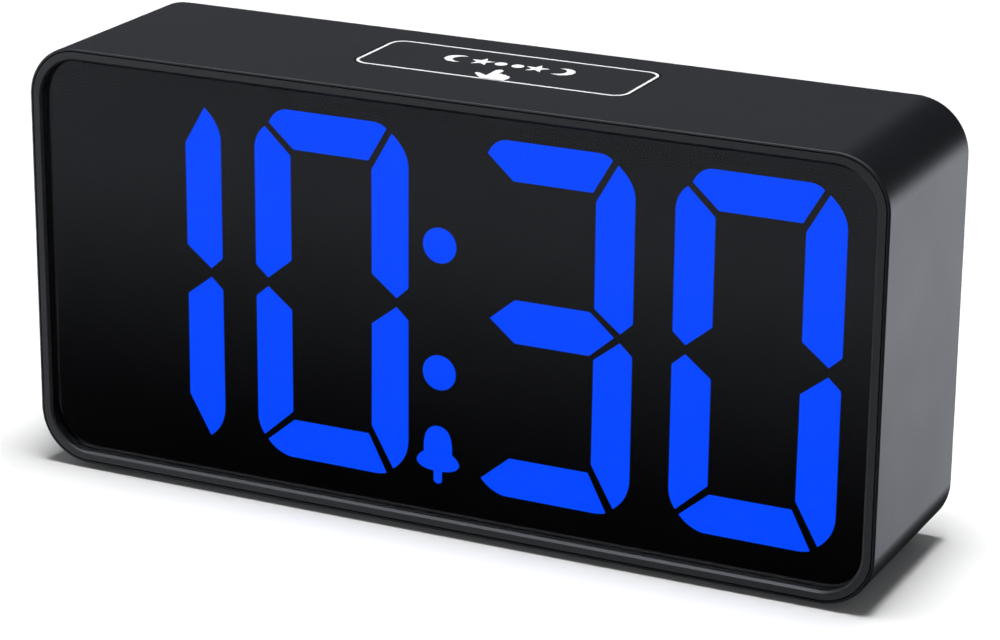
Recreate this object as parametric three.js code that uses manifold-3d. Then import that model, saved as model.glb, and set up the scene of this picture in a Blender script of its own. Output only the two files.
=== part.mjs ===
// A digital alarm clock: a slim rounded case with a large seven-segment display, a snooze key on top, and the
// setting keys, alarm slider, dimmer wheel, sockets, speaker and battery bay at the back.
// Millimetres, +Z up, front face towards -Y. The origin is on the table, under the middle of the clock.
import * as THREE from "three";
import { mergeVertices } from "three/addons/utils/BufferGeometryUtils.js";
import Module from "manifold-3d";

const wasm = await Module();
wasm.setup();

// ---- Driving dimensions ----
const CASE_WIDTH = 160;
const CASE_HEIGHT = 77.4;
const CASE_DEPTH = 39;
const CASE_CORNER = 9.5;
const WALL = 2;
const FOOT_PROUD = 1;
const GAP = 0.3;
const CASE_FINENESS = 5;

// Planes across the depth, measured from the middle of the case.
const FRONT = -CASE_DEPTH / 2;
const BACK = CASE_DEPTH / 2;
const TOP = CASE_HEIGHT / 2;
const BOTTOM = -CASE_HEIGHT / 2;

// Front bezel: a rim inside the lip of the sleeve, a tongue behind it, and a ledge behind the lens.
const RIM_WIDTH = 2.25;
const RIM_INSET = 0.65;
const RIM_THICKNESS = 1.2;
const LIP = 0.45;
const SEAT = FRONT + RIM_THICKNESS;
const REBATE_INSET = 1.2;
const TONGUE_INSET = 1.4;
const TONGUE_LENGTH = 4.4;
const LENS_RECESS = 0.4;
const LENS_THICKNESS = 1.5;
const LENS_INSET = RIM_WIDTH + 0.1;
const LEDGE_FRONT = FRONT + LENS_RECESS + LENS_THICKNESS + 0.1;
const LEDGE_THICKNESS = 1.2;
const LEDGE_INSET = 5;

// Display stack behind the lens: diffuser, reflector, board.
const SEGMENT_FRONT = LEDGE_FRONT + 0.1;
const SHEET_FRONT = LEDGE_FRONT + LEDGE_THICKNESS + 0.1;
const SHEET_THICKNESS = 0.6;
const STACK_INSET = 4;
const REFLECTOR_FRONT = SHEET_FRONT + SHEET_THICKNESS + 0.1;
const REFLECTOR_DEPTH = 8;
const BOARD_THICKNESS = 1.6;
const DISPLAY_BOARD_FRONT = REFLECTOR_FRONT + REFLECTOR_DEPTH + 0.1;
const DISPLAY_BOARD_BACK = DISPLAY_BOARD_FRONT + BOARD_THICKNESS;

// Digits: four cells, each 30 wide and 64 tall, a colon and a bell, centred a little above the middle.
const DIGIT_CENTRES = [-57.25, -20.85, 20.8, 57.6];
const DIGIT_SCALE = 0.99;
const DISPLAY_Z = 1.03;
const COLON_X = -0.08;
const COLON_OFFSET = 11.4;
const COLON_RADIUS = 3.15;
const BELL_BASE_Z = -30.7;

// Snooze key in the top wall.
const SNOOZE_X = 1.9;
const SNOOZE_Y = 3.7;
const SNOOZE_WIDTH = 51.8;
const SNOOZE_LENGTH = 17.9;
const SNOOZE_CORNER = 3.1;
const SNOOZE_GAP = 0.2;
const SNOOZE_BOARD_TOP = 27.5;
const SNOOZE_BOARD_THICKNESS = 1.2;
const SNOOZE_SWITCH_Z = SNOOZE_BOARD_TOP + 0.05;
const SNOOZE_POST_OFFSETS = [-31, 31];
const PIN_RADIUS = 0.9;
const PIN_HOLE = 1.25;

// Rear cover, set back from the rear edge of the sleeve.
const COVER_OUTER = BACK - 1.7;
const COVER_THICKNESS = 2;
const COVER_INNER = COVER_OUTER - COVER_THICKNESS;
const COVER_INSET = WALL + GAP;
const SCREW_INSET = 9.5;
const SCREW_X = CASE_WIDTH / 2 - SCREW_INSET;
const SCREW_Z = CASE_HEIGHT / 2 - SCREW_INSET;

// Control row across the back.
const ROW_Z = 20;
const KEY_XS = [-56, -42, -28, -14, 0];
const KEY_WIDTH = 9;
const KEY_HEIGHT = 5;
const SLIDER_X = 22;
const SLIDER_TRAVEL = 2.5;
const WHEEL_X = 50;
const WHEEL_RADIUS = 9;
const WHEEL_THICKNESS = 3.4;
const WHEEL_Y = COVER_OUTER + 1.3 - WHEEL_RADIUS;
const CONTROL_BOARD_FRONT = 4;
const CONTROL_BOARD_BACK = CONTROL_BOARD_FRONT + BOARD_THICKNESS;
const MOUNTED = CONTROL_BOARD_BACK + 0.05;
const BOARD_PIN_XS = [-62, -35, 41];
const BOARD_PIN_Z = 11.5;

// Tact switch: a square body with a bored top and a loose plunger.
const SWITCH_SIDE = 6;
const SWITCH_HEIGHT = 3.5;
const SWITCH_BORE = 1.9;
const PLUNGER_RADIUS = 1.7;
const PLUNGER_BASE = 2.6;
const PLUNGER_TOP = 4.6;

// Lower half of the back: speaker, battery bay, sockets.
const SPEAKER_X = -52;
const SPEAKER_Z = -12;
const SPEAKER_RADIUS = 14;
const BAY_Z = -12.7;
const BAY_WIDTH = 52;
const BAY_HEIGHT = 23;
const BAY_FLOOR = 5.2;
const BAY_WALL = 1.2;
const DOOR_WIDTH = 54;
const DOOR_HEIGHT = 25;
const DOOR_THICKNESS = 1.5;
const CELL_RADIUS = 5.25;
const CELL_LENGTH = 43.3;
const CELL_PITCH = 11.2;
const NUB_RADIUS = 1.9;
const NUB_LENGTH = 1.2;
const CONTACT_THICKNESS = 0.4;
const POWER_BOARD_TOP = -20;
const JACK_X = 39;
const JACK_Z = POWER_BOARD_TOP + 6.3;
const USB_X = 56;
const USB_WIDTH = 13.1;
const USB_HEIGHT = 5.7;
const USB_WALL = 0.5;
const USB_Z = POWER_BOARD_TOP + USB_HEIGHT / 2 + 0.1;

// Ribbon cable between the two boards.
const CABLE_X = 31;
const CABLE_WIDTH = 10;
const CABLE_THICKNESS = 0.4;
const DISPLAY_CONNECTOR_Z = 4;
const CONTROL_CONNECTOR_Z = 13;
const CONNECTOR_HEIGHT = 2;

const FOOT_X = 62;
const FOOT_Y = 11;
const FOOT_RADIUS = 5;
const FOOT_HEIGHT = 1.95;

// ---- Materials ----
const plastic = (color, roughness) => new THREE.MeshStandardMaterial({ color, roughness, metalness: 0 });
const metal = (color, roughness) => new THREE.MeshStandardMaterial({ color, roughness, metalness: 1 });
const MATERIALS = {
  case: plastic(0x26272a, 0.45),
  bezel: plastic(0x202124, 0.4),
  lens: new THREE.MeshStandardMaterial({ color: 0x050506, roughness: 0.08, transparent: true, opacity: 0.5 }),
  diffuser: new THREE.MeshStandardMaterial({ color: 0x0048ff, emissive: 0x0048ff, roughness: 0.5 }),
  reflector: plastic(0xe9e9e6, 0.6),
  board: plastic(0x1d5a34, 0.5),
  key: plastic(0x2b2c2f, 0.5),
  rubber: plastic(0x151515, 0.9),
  component: plastic(0x17181a, 0.45),
  plunger: plastic(0xd8d6cf, 0.5),
  nickel: metal(0xc8c8c6, 0.3),
  screw: metal(0x8f9092, 0.35),
  cone: plastic(0x2c2a28, 0.9),
  cell: metal(0x7c8288, 0.35),
  cable: plastic(0xd9dadc, 0.6),
};

// ---- Solids ----
function solid(geometry) {
  const bare = geometry.clone();
  bare.deleteAttribute("normal");
  bare.deleteAttribute("uv");
  const merged = mergeVertices(bare, 1e-4);
  const triVerts = new Uint32Array(merged.index.array);
  const vertProperties = new Float32Array(merged.attributes.position.array);
  return new wasm.Manifold(new wasm.Mesh({ numProp: 3, vertProperties, triVerts }));
}

function geometryOf(manifold) {
  const { vertProperties, triVerts } = manifold.getMesh();
  const geometry = new THREE.BufferGeometry();
  geometry.setAttribute("position", new THREE.BufferAttribute(vertProperties, 3));
  geometry.setIndex(new THREE.BufferAttribute(triVerts, 1));
  geometry.computeVertexNormals();
  return geometry;
}

const joined = (...solids) => solids.reduce((all, next) => all.add(next));
const cutFrom = (body, ...tools) => tools.reduce((left, tool) => left.subtract(tool), body);

// ---- Outlines, in an x-up plane that each prism function then stands in its own direction ----
function rectangle(width, height, radius = 0, x = 0, y = 0) {
  const shape = new THREE.Shape();
  const [w, h] = [width / 2 - radius, height / 2 - radius];
  if (radius === 0) {
    const corners = [[-w, -h], [w, -h], [w, h], [-w, h]];
    return shape.setFromPoints(corners.map(([a, b]) => new THREE.Vector2(x + a, y + b)));
  }
  shape.absarc(x + w, y + h, radius, 0, Math.PI / 2);
  shape.absarc(x - w, y + h, radius, Math.PI / 2, Math.PI);
  shape.absarc(x - w, y - h, radius, Math.PI, 1.5 * Math.PI);
  shape.absarc(x + w, y - h, radius, 1.5 * Math.PI, 2 * Math.PI);
  shape.closePath();
  return shape;
}

const caseOutline = (inset) =>
  rectangle(CASE_WIDTH - 2 * inset, CASE_HEIGHT - 2 * inset, CASE_CORNER - inset);

// A slot outline with round ends; the radius stops just short of half the height, so that no side is lost.
const obround = (width, height, x = 0, y = 0) => rectangle(width, height, height / 2 - 0.01, x, y);

function circle(radius, x = 0, y = 0) {
  const shape = new THREE.Shape();
  shape.absarc(x, y, radius, 0, 2 * Math.PI);
  return shape;
}

function ring(outer, inner) {
  const shape = outer.clone();
  shape.holes.push(inner);
  return shape;
}

function extruded(shape, depth, fineness) {
  return new THREE.ExtrudeGeometry(shape, { depth, bevelEnabled: false, curveSegments: fineness });
}

// An outline drawn in X and Z, standing from y = near to y = far.
function prismY(shape, near, far, fineness = 4) {
  return extruded(shape, far - near, fineness).rotateX(Math.PI / 2).translate(0, far, 0);
}

// An outline drawn in X and Y, standing from z = low to z = high.
function prismZ(shape, low, high, fineness = 4) {
  return extruded(shape, high - low, fineness).translate(0, 0, low);
}

// An outline drawn in Y and Z, standing from x = left to x = right.
function prismX(shape, left, right, fineness = 4) {
  const turn = new THREE.Matrix4().makeBasis(
    new THREE.Vector3(0, 1, 0),
    new THREE.Vector3(0, 0, 1),
    new THREE.Vector3(1, 0, 0),
  );
  return extruded(shape, right - left, fineness).applyMatrix4(turn).translate(left, 0, 0);
}

const blockY = (width, height, near, far, x, z) =>
  solid(prismY(rectangle(width, height, 0, x, z), near, far));
const rodY = (radius, near, far, x, z, fineness = 8) =>
  solid(prismY(circle(radius, x, z), near, far, fineness));

// ---- Seven-segment shapes, in a cell centred on its own middle ----
// Each point is [x, z]. With two more values it ends a curve that bends towards that control point.
const SEGMENTS = {
  a: [[-12.1, 29.1], [-8.6, 31.8, -11, 31.6], [8, 31.8], [10.8, 30.8, 9.8, 31.8], [7.3, 24.8], [-7.3, 24.8]],
  b: [[11.8, 30.1], [7.9, 23.3], [7.9, 4.6], [12.7, 0.8], [15, 2.9], [15, 24.8], [11.8, 30.1, 14.8, 27.6]],
  c: [[12.7, -0.8], [7.9, -4.5], [7.8, -23.4], [12, -30.8], [15, -24.9, 15, -28.6], [15, -2.9]],
  d: [
    [-7.6, -25], [7.2, -25], [10.7, -31.8], [8.4, -32.2, 9.8, -32.2], [-8.6, -32.1],
    [-13, -29.5, -11.3, -31.6],
  ],
  e: [[-12.6, -0.8], [-15, -2.9], [-15, -24.8], [-13.7, -28.7, -15, -27], [-7.9, -23.5], [-7.9, -4.5]],
  f: [[-12.9, 28.3], [-15, 24.5, -14.7, 27], [-15, 2.9], [-12.6, 0.8], [-7.9, 4.6], [-7.9, 23.6]],
  g: [[-11.5, 0], [-6.8, -3.9], [7.1, -3.9], [11.6, 0], [7.1, 3.9], [-6.8, 3.9]],
};

function segmentShape(points, x, z) {
  const shape = new THREE.Shape();
  const scaled = points.map((point) => point.map((value) => value * DIGIT_SCALE));
  scaled.forEach(([px, pz, controlX, controlZ], i) => {
    if (i === 0) {
      shape.moveTo(x + px, z + pz);
    } else if (controlX === undefined) {
      shape.lineTo(x + px, z + pz);
    } else {
      shape.quadraticCurveTo(x + controlX, z + controlZ, x + px, z + pz);
    }
  });
  shape.closePath();
  return shape;
}

function bellShape(z) {
  const shape = new THREE.Shape();
  shape.moveTo(-0.8, z + 2.3);
  shape.lineTo(-0.8, z + 0.4);
  shape.quadraticCurveTo(0, z - 0.4, 0.8, z + 0.4);
  shape.lineTo(0.8, z + 2.3);
  shape.quadraticCurveTo(3.6, z + 2.4, 4.1, z + 3.8);
  shape.quadraticCurveTo(3.9, z + 5, 2.7, z + 5.6);
  shape.quadraticCurveTo(3, z + 10.5, 0, z + 10.6);
  shape.quadraticCurveTo(-3, z + 10.5, -2.7, z + 5.6);
  shape.quadraticCurveTo(-3.9, z + 5, -4.1, z + 3.8);
  shape.quadraticCurveTo(-3.6, z + 2.4, -0.8, z + 2.3);
  return shape;
}

const DIGIT_SHAPES = DIGIT_CENTRES.flatMap((x) =>
  Object.values(SEGMENTS).map((points) => segmentShape(points, x, DISPLAY_Z)),
);
const WINDOW_SHAPES = [
  ...DIGIT_SHAPES,
  circle(COLON_RADIUS, COLON_X, DISPLAY_Z + COLON_OFFSET),
  circle(COLON_RADIUS, COLON_X, DISPLAY_Z - COLON_OFFSET),
  bellShape(BELL_BASE_Z),
];

// ---- Case ----
const caseRing = (outerInset, innerInset, near, far) =>
  prismY(ring(caseOutline(outerInset), caseOutline(innerInset)), near, far, CASE_FINENESS);

function screwPost(x, z) {
  const [start, end] = [2, COVER_INNER - 0.05];
  const post = rodY(3.2, start, end, x, z);
  const wallX = Math.sign(x) * (CASE_WIDTH / 2 - WALL / 2);
  const wallZ = Math.sign(z) * (CASE_HEIGHT / 2 - WALL / 2);
  const sideRib = blockY(Math.abs(wallX - x), 1.4, start, end, (x + wallX) / 2, z);
  const uprightRib = blockY(1.4, Math.abs(wallZ - z), start, end, x, (z + wallZ) / 2);
  return joined(post, sideRib, uprightRib);
}

// A post down from the top wall, with a pin through the snooze board that is staked below it.
function snoozeBoardPost(x) {
  const post = solid(prismZ(circle(2.5, x, SNOOZE_Y), SNOOZE_BOARD_TOP + GAP, TOP - WALL / 2, 5));
  const pin = solid(prismZ(circle(PIN_RADIUS, x, SNOOZE_Y), SNOOZE_BOARD_TOP - 2, TOP - WALL, 3));
  return joined(post, pin);
}

// A block on the inside of the top or bottom wall that the display board rests against.
function boardStop(x, side) {
  const middle = side * (CASE_HEIGHT / 2 - WALL - 1.2);
  return blockY(6, 3, DISPLAY_BOARD_BACK + 0.1, DISPLAY_BOARD_BACK + 3, x, middle);
}

const CORNERS = [[-1, -1], [1, -1], [-1, 1], [1, 1]];

function housingSleeve() {
  const tube = solid(caseRing(0, WALL, FRONT, BACK));
  const rebateEnd = SEAT + TONGUE_LENGTH + 0.4;
  const rebate = joined(
    solid(prismY(caseOutline(LIP), FRONT - 1, SEAT + 0.2, CASE_FINENESS)),
    solid(prismY(caseOutline(REBATE_INSET), FRONT - 1, rebateEnd, CASE_FINENESS)),
  );
  const hole = rectangle(
    SNOOZE_WIDTH + 2 * SNOOZE_GAP, SNOOZE_LENGTH + 2 * SNOOZE_GAP,
    SNOOZE_CORNER + SNOOZE_GAP, SNOOZE_X, SNOOZE_Y,
  );
  const body = joined(
    cutFrom(tube, rebate, solid(prismZ(hole, TOP - 2 * WALL, TOP + 1))),
    ...CORNERS.map(([x, z]) => screwPost(x * SCREW_X, z * SCREW_Z)),
    ...SNOOZE_POST_OFFSETS.map((offset) => snoozeBoardPost(SNOOZE_X + offset)),
    ...[-66, -45, 45, 66].map((x) => boardStop(x, 1)),
    ...[-60, -20, 20, 60].map((x) => boardStop(x, -1)),
  );
  return cutFrom(
    body,
    ...CORNERS.map(([x, z]) => rodY(1.4, 5, BACK, x * SCREW_X, z * SCREW_Z)),
    ...CORNERS.map(([x, y]) =>
      solid(prismZ(circle(FOOT_RADIUS + 0.2, x * FOOT_X, y * FOOT_Y), BOTTOM - 1, BOTTOM + 1, 8)),
    ),
  );
}

function frontBezel() {
  return joined(
    solid(caseRing(RIM_INSET, RIM_WIDTH, FRONT, SEAT)),
    solid(caseRing(TONGUE_INSET, RIM_WIDTH, SEAT, SEAT + TONGUE_LENGTH)),
    solid(caseRing(RIM_WIDTH - 0.2, LEDGE_INSET, LEDGE_FRONT, LEDGE_FRONT + LEDGE_THICKNESS)),
  );
}

function displayLens() {
  const near = FRONT + LENS_RECESS;
  return solid(prismY(caseOutline(LENS_INSET), near, near + LENS_THICKNESS, CASE_FINENESS));
}

const rubberFoot = () => solid(prismZ(circle(FOOT_RADIUS), 0, FOOT_HEIGHT, 8));

// ---- Display ----
const cableConnector = (near, far, z) => blockY(CABLE_WIDTH + 2, 4, near, far, CABLE_X, z);

function segmentDiffuser() {
  const sheet = solid(prismY(caseOutline(STACK_INSET), SHEET_FRONT, SHEET_FRONT + SHEET_THICKNESS, 3));
  const raised = WINDOW_SHAPES.map((shape) => solid(prismY(shape, SEGMENT_FRONT, SHEET_FRONT + 0.2, 3)));
  return joined(sheet, ...raised);
}

function displayReflector() {
  const back = REFLECTOR_FRONT + REFLECTOR_DEPTH;
  const block = solid(prismY(caseOutline(STACK_INSET), REFLECTOR_FRONT, back, 3));
  const wells = WINDOW_SHAPES.map((shape) => solid(prismY(shape, REFLECTOR_FRONT - 1, back + 1, 3)));
  return cutFrom(block, ...wells);
}

// The board carries one light-emitting chip behind the middle of each window.
function displayBoard() {
  const board = solid(prismY(caseOutline(WALL + 0.4), DISPLAY_BOARD_FRONT, DISPLAY_BOARD_BACK, 3));
  const chips = WINDOW_SHAPES.map((shape) => {
    const box = new THREE.Box2().setFromPoints(shape.getPoints(3));
    const middle = box.getCenter(new THREE.Vector2());
    return blockY(3, 2, DISPLAY_BOARD_FRONT - 0.8, DISPLAY_BOARD_FRONT + 0.2, middle.x, middle.y);
  });
  const connector = cableConnector(
    DISPLAY_BOARD_BACK - 0.2, DISPLAY_BOARD_BACK + CONNECTOR_HEIGHT, DISPLAY_CONNECTOR_Z,
  );
  return joined(board, connector, ...chips);
}

function clockChip() {
  const body = blockY(12, 7.5, 0.3, 2.3, 0, 0);
  const legs = [-1, 1].flatMap((side) =>
    Array.from({ length: 6 }, (_, i) => blockY(0.6, 1.6, 0, 0.7, (i - 2.5) * 1.8, side * 4.2)),
  );
  return joined(body, ...legs);
}

const crystalCan = () => solid(prismX(circle(1.5), -4, 4, 5));

function capacitorCan() {
  const profile = [[0, 0], [3.1, 0], [3.1, 0.8], [2.8, 1.1], [3.1, 1.4], [3.1, 7.6], [2.8, 8], [0, 8]];
  const can = new THREE.LatheGeometry(profile.map(([r, h]) => new THREE.Vector2(r, h)), 16);
  return solid(can);
}

// ---- Tact switch and plunger, standing on z = 0 ----
function switchBody() {
  const body = solid(prismZ(rectangle(SWITCH_SIDE, SWITCH_SIDE), 0, SWITCH_HEIGHT));
  const bore = solid(prismZ(circle(SWITCH_BORE), 1.7, SWITCH_HEIGHT + 1, 5));
  return cutFrom(body, bore);
}

const switchPlunger = () => solid(prismZ(circle(PLUNGER_RADIUS), PLUNGER_BASE, PLUNGER_TOP, 5));

// ---- Snooze key and its board ----
function snoozeKey() {
  const cap = solid(
    prismZ(rectangle(SNOOZE_WIDTH, SNOOZE_LENGTH, SNOOZE_CORNER), TOP - WALL - 0.5, TOP, 4),
  );
  const flangeTop = TOP - WALL - GAP;
  const flange = solid(
    prismZ(rectangle(SNOOZE_WIDTH + 3.4, SNOOZE_LENGTH - 0.4, SNOOZE_CORNER), flangeTop - 1.2, flangeTop, 3),
  );
  const post = solid(prismZ(circle(2), SNOOZE_SWITCH_Z + PLUNGER_TOP + 0.05, TOP - WALL - 1, 5));
  return joined(cap, flange, post);
}

function snoozeBoard() {
  const low = SNOOZE_BOARD_TOP - SNOOZE_BOARD_THICKNESS;
  const board = solid(prismZ(rectangle(70, 14, 1), low, SNOOZE_BOARD_TOP, 2));
  const holes = SNOOZE_POST_OFFSETS.map((x) =>
    solid(prismZ(circle(PIN_HOLE, x, 0), low - 1, SNOOZE_BOARD_TOP + 1, 3)),
  );
  return cutFrom(board, ...holes);
}

// A pan-head screw with a cross recess, head towards +Z and resting on z = 0.
function crossScrew(headRadius, headHeight, shankRadius, shankLength) {
  const profile = [
    [0, -shankLength], [shankRadius * 0.5, -shankLength], [shankRadius, -shankLength + 1], [shankRadius, 0],
    [headRadius, 0], [headRadius, headHeight * 0.6], [headRadius * 0.8, headHeight], [0, headHeight],
  ];
  const points = profile.map(([r, z]) => new THREE.Vector2(r, z));
  const body = solid(new THREE.LatheGeometry(points, 16).rotateX(Math.PI / 2));
  const arm = headRadius * 1.1;
  const low = headHeight * 0.4;
  const slots = [rectangle(arm, 0.6), rectangle(0.6, arm)].map((s) => solid(prismZ(s, low, headHeight + 1)));
  return cutFrom(body, ...slots);
}

// ---- Rear cover ----
function grilleSlots() {
  return [-3, -2, -1, 0, 1, 2, 3].map((step) => {
    const offset = step * 3.2;
    const length = 2 * Math.sqrt(12 ** 2 - offset ** 2);
    const slot = obround(length, 1.5, SPEAKER_X, SPEAKER_Z + offset);
    return solid(prismY(slot, COVER_INNER - 1, COVER_OUTER + 1, 2));
  });
}

function rearCover() {
  const throughHole = (shape, fineness) => solid(prismY(shape, COVER_INNER - 1, COVER_OUTER + 1, fineness));
  const plate = solid(prismY(caseOutline(COVER_INSET), COVER_INNER, COVER_OUTER, CASE_FINENESS));
  const bayOuter = blockY(
    BAY_WIDTH + 2 * BAY_WALL, BAY_HEIGHT + 2 * BAY_WALL, BAY_FLOOR - BAY_WALL, COVER_INNER + 0.2, 0, BAY_Z,
  );
  const collar = ring(
    circle(SPEAKER_RADIUS + 1.5, SPEAKER_X, SPEAKER_Z),
    circle(SPEAKER_RADIUS + GAP, SPEAKER_X, SPEAKER_Z),
  );
  const speakerRing = solid(prismY(collar, COVER_INNER - 3, COVER_INNER + 0.2, 10));
  const boardRibs = [33.5, 64].map((x) =>
    blockY(1.5, 3, COVER_INNER - 7, COVER_INNER + 0.2, x, POWER_BOARD_TOP - BOARD_THICKNESS - 1.6),
  );
  const boardPosts = BOARD_PIN_XS.map((x) =>
    joined(
      rodY(1.9, CONTROL_BOARD_BACK + GAP, COVER_INNER + 0.2, x, BOARD_PIN_Z, 4),
      rodY(PIN_RADIUS, CONTROL_BOARD_FRONT - 0.8, COVER_INNER, x, BOARD_PIN_Z, 3),
    ),
  );
  const body = joined(plate, bayOuter, speakerRing, ...boardRibs, ...boardPosts);
  return cutFrom(
    body,
    blockY(BAY_WIDTH, BAY_HEIGHT, BAY_FLOOR, COVER_OUTER + 1, 0, BAY_Z),
    solid(
      prismY(
        rectangle(DOOR_WIDTH + 0.6, DOOR_HEIGHT + 0.6, 1, 0, BAY_Z),
        COVER_OUTER - DOOR_THICKNESS - 0.1, COVER_OUTER + 1, 2,
      ),
    ),
    solid(prismY(circle(5, 0, BAY_Z + DOOR_HEIGHT / 2), COVER_OUTER - 1, COVER_OUTER + 1, 8)),
    ...KEY_XS.map((x) =>
      throughHole(obround(KEY_WIDTH + 2 * GAP, KEY_HEIGHT + 2 * GAP, x, ROW_Z), 4),
    ),
    throughHole(rectangle(7.6, 3.9, 0.6, SLIDER_X, ROW_Z), 2),
    throughHole(rectangle(15, WHEEL_THICKNESS + 1, 0.6, WHEEL_X, ROW_Z), 2),
    throughHole(circle(4.1, JACK_X, JACK_Z), 8),
    throughHole(rectangle(USB_WIDTH + 2 * GAP, USB_HEIGHT + 2 * GAP, 0, USB_X, USB_Z), 2),
    ...grilleSlots(),
    ...CORNERS.map(([x, z]) => rodY(1.5, COVER_INNER - 1, BACK, x * SCREW_X, z * SCREW_Z, 6)),
    ...CORNERS.map(([x, z]) => rodY(3, COVER_OUTER - 1.2, BACK, x * SCREW_X, z * SCREW_Z, 6)),
  );
}

function batteryDoor() {
  const back = COVER_OUTER - 0.05;
  const plate = solid(prismY(rectangle(DOOR_WIDTH, DOOR_HEIGHT, 0.8), back - DOOR_THICKNESS, back, 2));
  const thumbNotch = solid(prismY(circle(5, 0, DOOR_HEIGHT / 2), back - 0.9, back + 1, 8));
  const grips = [0, 1, 2].map((i) => blockY(14, 0.7, back - 0.5, back + 1, 0, 4.4 - i * 1.7));
  return cutFrom(plate, thumbNotch, ...grips);
}

// ---- Control row ----
// A setting key: cap through the cover, flange behind it, stem down to its switch. Local +Z points out
// of the clock.
function settingKey() {
  const flangeTop = COVER_INNER - 0.1;
  const stemEnd = MOUNTED + PLUNGER_TOP + 0.05;
  const cap = solid(prismZ(obround(KEY_WIDTH, KEY_HEIGHT), flangeTop - 0.5, COVER_OUTER + 1.2, 4));
  const flange = solid(prismZ(obround(KEY_WIDTH + 2, KEY_HEIGHT + 2), flangeTop - 1, flangeTop, 3));
  const stem = solid(prismZ(circle(1.5), stemEnd, flangeTop - 0.5, 4));
  return joined(cap, flange, stem);
}

function controlBoard() {
  const board = solid(prismY(rectangle(128, 16, 1, -2, 17), CONTROL_BOARD_FRONT, CONTROL_BOARD_BACK, 2));
  const connector = cableConnector(
    CONTROL_BOARD_FRONT - CONNECTOR_HEIGHT, CONTROL_BOARD_FRONT + 0.2, CONTROL_CONNECTOR_Z,
  );
  return cutFrom(
    joined(board, connector),
    blockY(20, 4.6, CONTROL_BOARD_FRONT - 1, CONTROL_BOARD_BACK + 1, WHEEL_X, ROW_Z),
    ...BOARD_PIN_XS.map((x) =>
      rodY(PIN_HOLE, CONTROL_BOARD_FRONT - 1, CONTROL_BOARD_BACK + 1, x, BOARD_PIN_Z, 3),
    ),
  );
}

function sliderBody() {
  const body = blockY(10, 5, MOUNTED, MOUNTED + 4, SLIDER_X, ROW_Z);
  const slot = blockY(SLIDER_TRAVEL + 2.8, 2.4, MOUNTED + 2.3, MOUNTED + 5, SLIDER_X, ROW_Z);
  return cutFrom(body, slot);
}

function sliderKnob() {
  const stem = blockY(2, 1.8, MOUNTED + 2.6, COVER_INNER, 0, 0);
  const grip = blockY(4, 3.2, COVER_INNER - 0.2, COVER_OUTER + 1.1, 0, 0);
  const grooves = [-1.2, 0, 1.2].map((x) => blockY(0.4, 4, COVER_OUTER + 0.8, BACK, x, 0));
  return cutFrom(joined(stem, grip), ...grooves);
}

function dimmerPotentiometer() {
  const [low, high] = [12.6, 17.8];
  const body = solid(prismZ(rectangle(10, 9, 0, WHEEL_X, MOUNTED + 4.5), low, high));
  return cutFrom(body, solid(prismZ(circle(1.8, WHEEL_X, WHEEL_Y), high - 3.2, high + 1, 6)));
}

const dimmerShaft = () => solid(prismZ(circle(1.5), 14.9, ROW_Z + WHEEL_THICKNESS / 2 + 0.4, 6));

// A thumbwheel with a knurled edge and a bore for its shaft.
function dimmerWheel() {
  const teeth = 30;
  const edge = Array.from({ length: teeth * 2 }, (_, i) => {
    const radius = WHEEL_RADIUS - (i % 2) * 0.45;
    const angle = (i * Math.PI) / teeth;
    return new THREE.Vector2(radius * Math.cos(angle), radius * Math.sin(angle));
  });
  const wheel = ring(new THREE.Shape(edge), circle(1.7));
  return solid(prismZ(wheel, -WHEEL_THICKNESS / 2, WHEEL_THICKNESS / 2, 6));
}

// ---- Speaker, facing +Z locally ----
function speakerFrame() {
  const profile = [
    [4.2, -7], [8.2, -7], [12, -2.2], [SPEAKER_RADIUS, -1], [SPEAKER_RADIUS, 0],
    [12.2, 0], [11.6, -1.4], [7.4, -6], [4.2, -6], [4.2, -7],
  ];
  const points = profile.map(([r, z]) => new THREE.Vector2(r, z));
  return solid(new THREE.LatheGeometry(points, 24).rotateX(Math.PI / 2));
}

function speakerCone() {
  const profile = [[0, -4.1], [3.4, -4.1], [11.2, -1], [11.8, -0.3], [11, -0.1], [3.6, -3.3], [0, -2.4]];
  const points = profile.map(([r, z]) => new THREE.Vector2(r, z));
  return solid(new THREE.LatheGeometry(points, 24).rotateX(Math.PI / 2));
}

const speakerMagnet = () => solid(prismZ(circle(7), -10.6, -7.1, 10));

// ---- Battery bay ----
// A cell along X, its nub towards +X, centred on the middle of its can.
function batteryCell() {
  const half = CELL_LENGTH / 2;
  const profile = [
    [0, -half], [CELL_RADIUS - 0.5, -half], [CELL_RADIUS, -half + 0.5], [CELL_RADIUS, half - 0.5],
    [CELL_RADIUS - 0.5, half], [NUB_RADIUS, half], [NUB_RADIUS, half + NUB_LENGTH], [0, half + NUB_LENGTH],
  ];
  const points = profile.map(([r, x]) => new THREE.Vector2(r, x));
  return solid(new THREE.LatheGeometry(points, 24).rotateZ(-Math.PI / 2));
}

const contactPlate = (height) => solid(prismX(rectangle(8, height, 0.5), 0, CONTACT_THICKNESS, 2));

// A conical spring along +X, three turns of round wire, wide end at x = 0.
function contactSpring() {
  const [turns, length, wire] = [3, 5, 0.35];
  const steps = turns * 9;
  const points = Array.from({ length: steps + 1 }, (_, i) => {
    const share = i / steps;
    const angle = share * turns * 2 * Math.PI;
    const radius = 3.2 - 1.2 * share;
    const along = wire + 0.05 + share * length;
    return new THREE.Vector3(along, radius * Math.cos(angle), radius * Math.sin(angle));
  });
  const path = new THREE.CatmullRomCurve3(points);
  const middle = new THREE.Vector2();
  const section = new THREE.Shape(
    [0, 1, 2, 3, 4].map((i) => new THREE.Vector2(wire, 0).rotateAround(middle, (i * 2 * Math.PI) / 5)),
  );
  return solid(new THREE.ExtrudeGeometry(section, { steps, extrudePath: path }));
}

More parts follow.
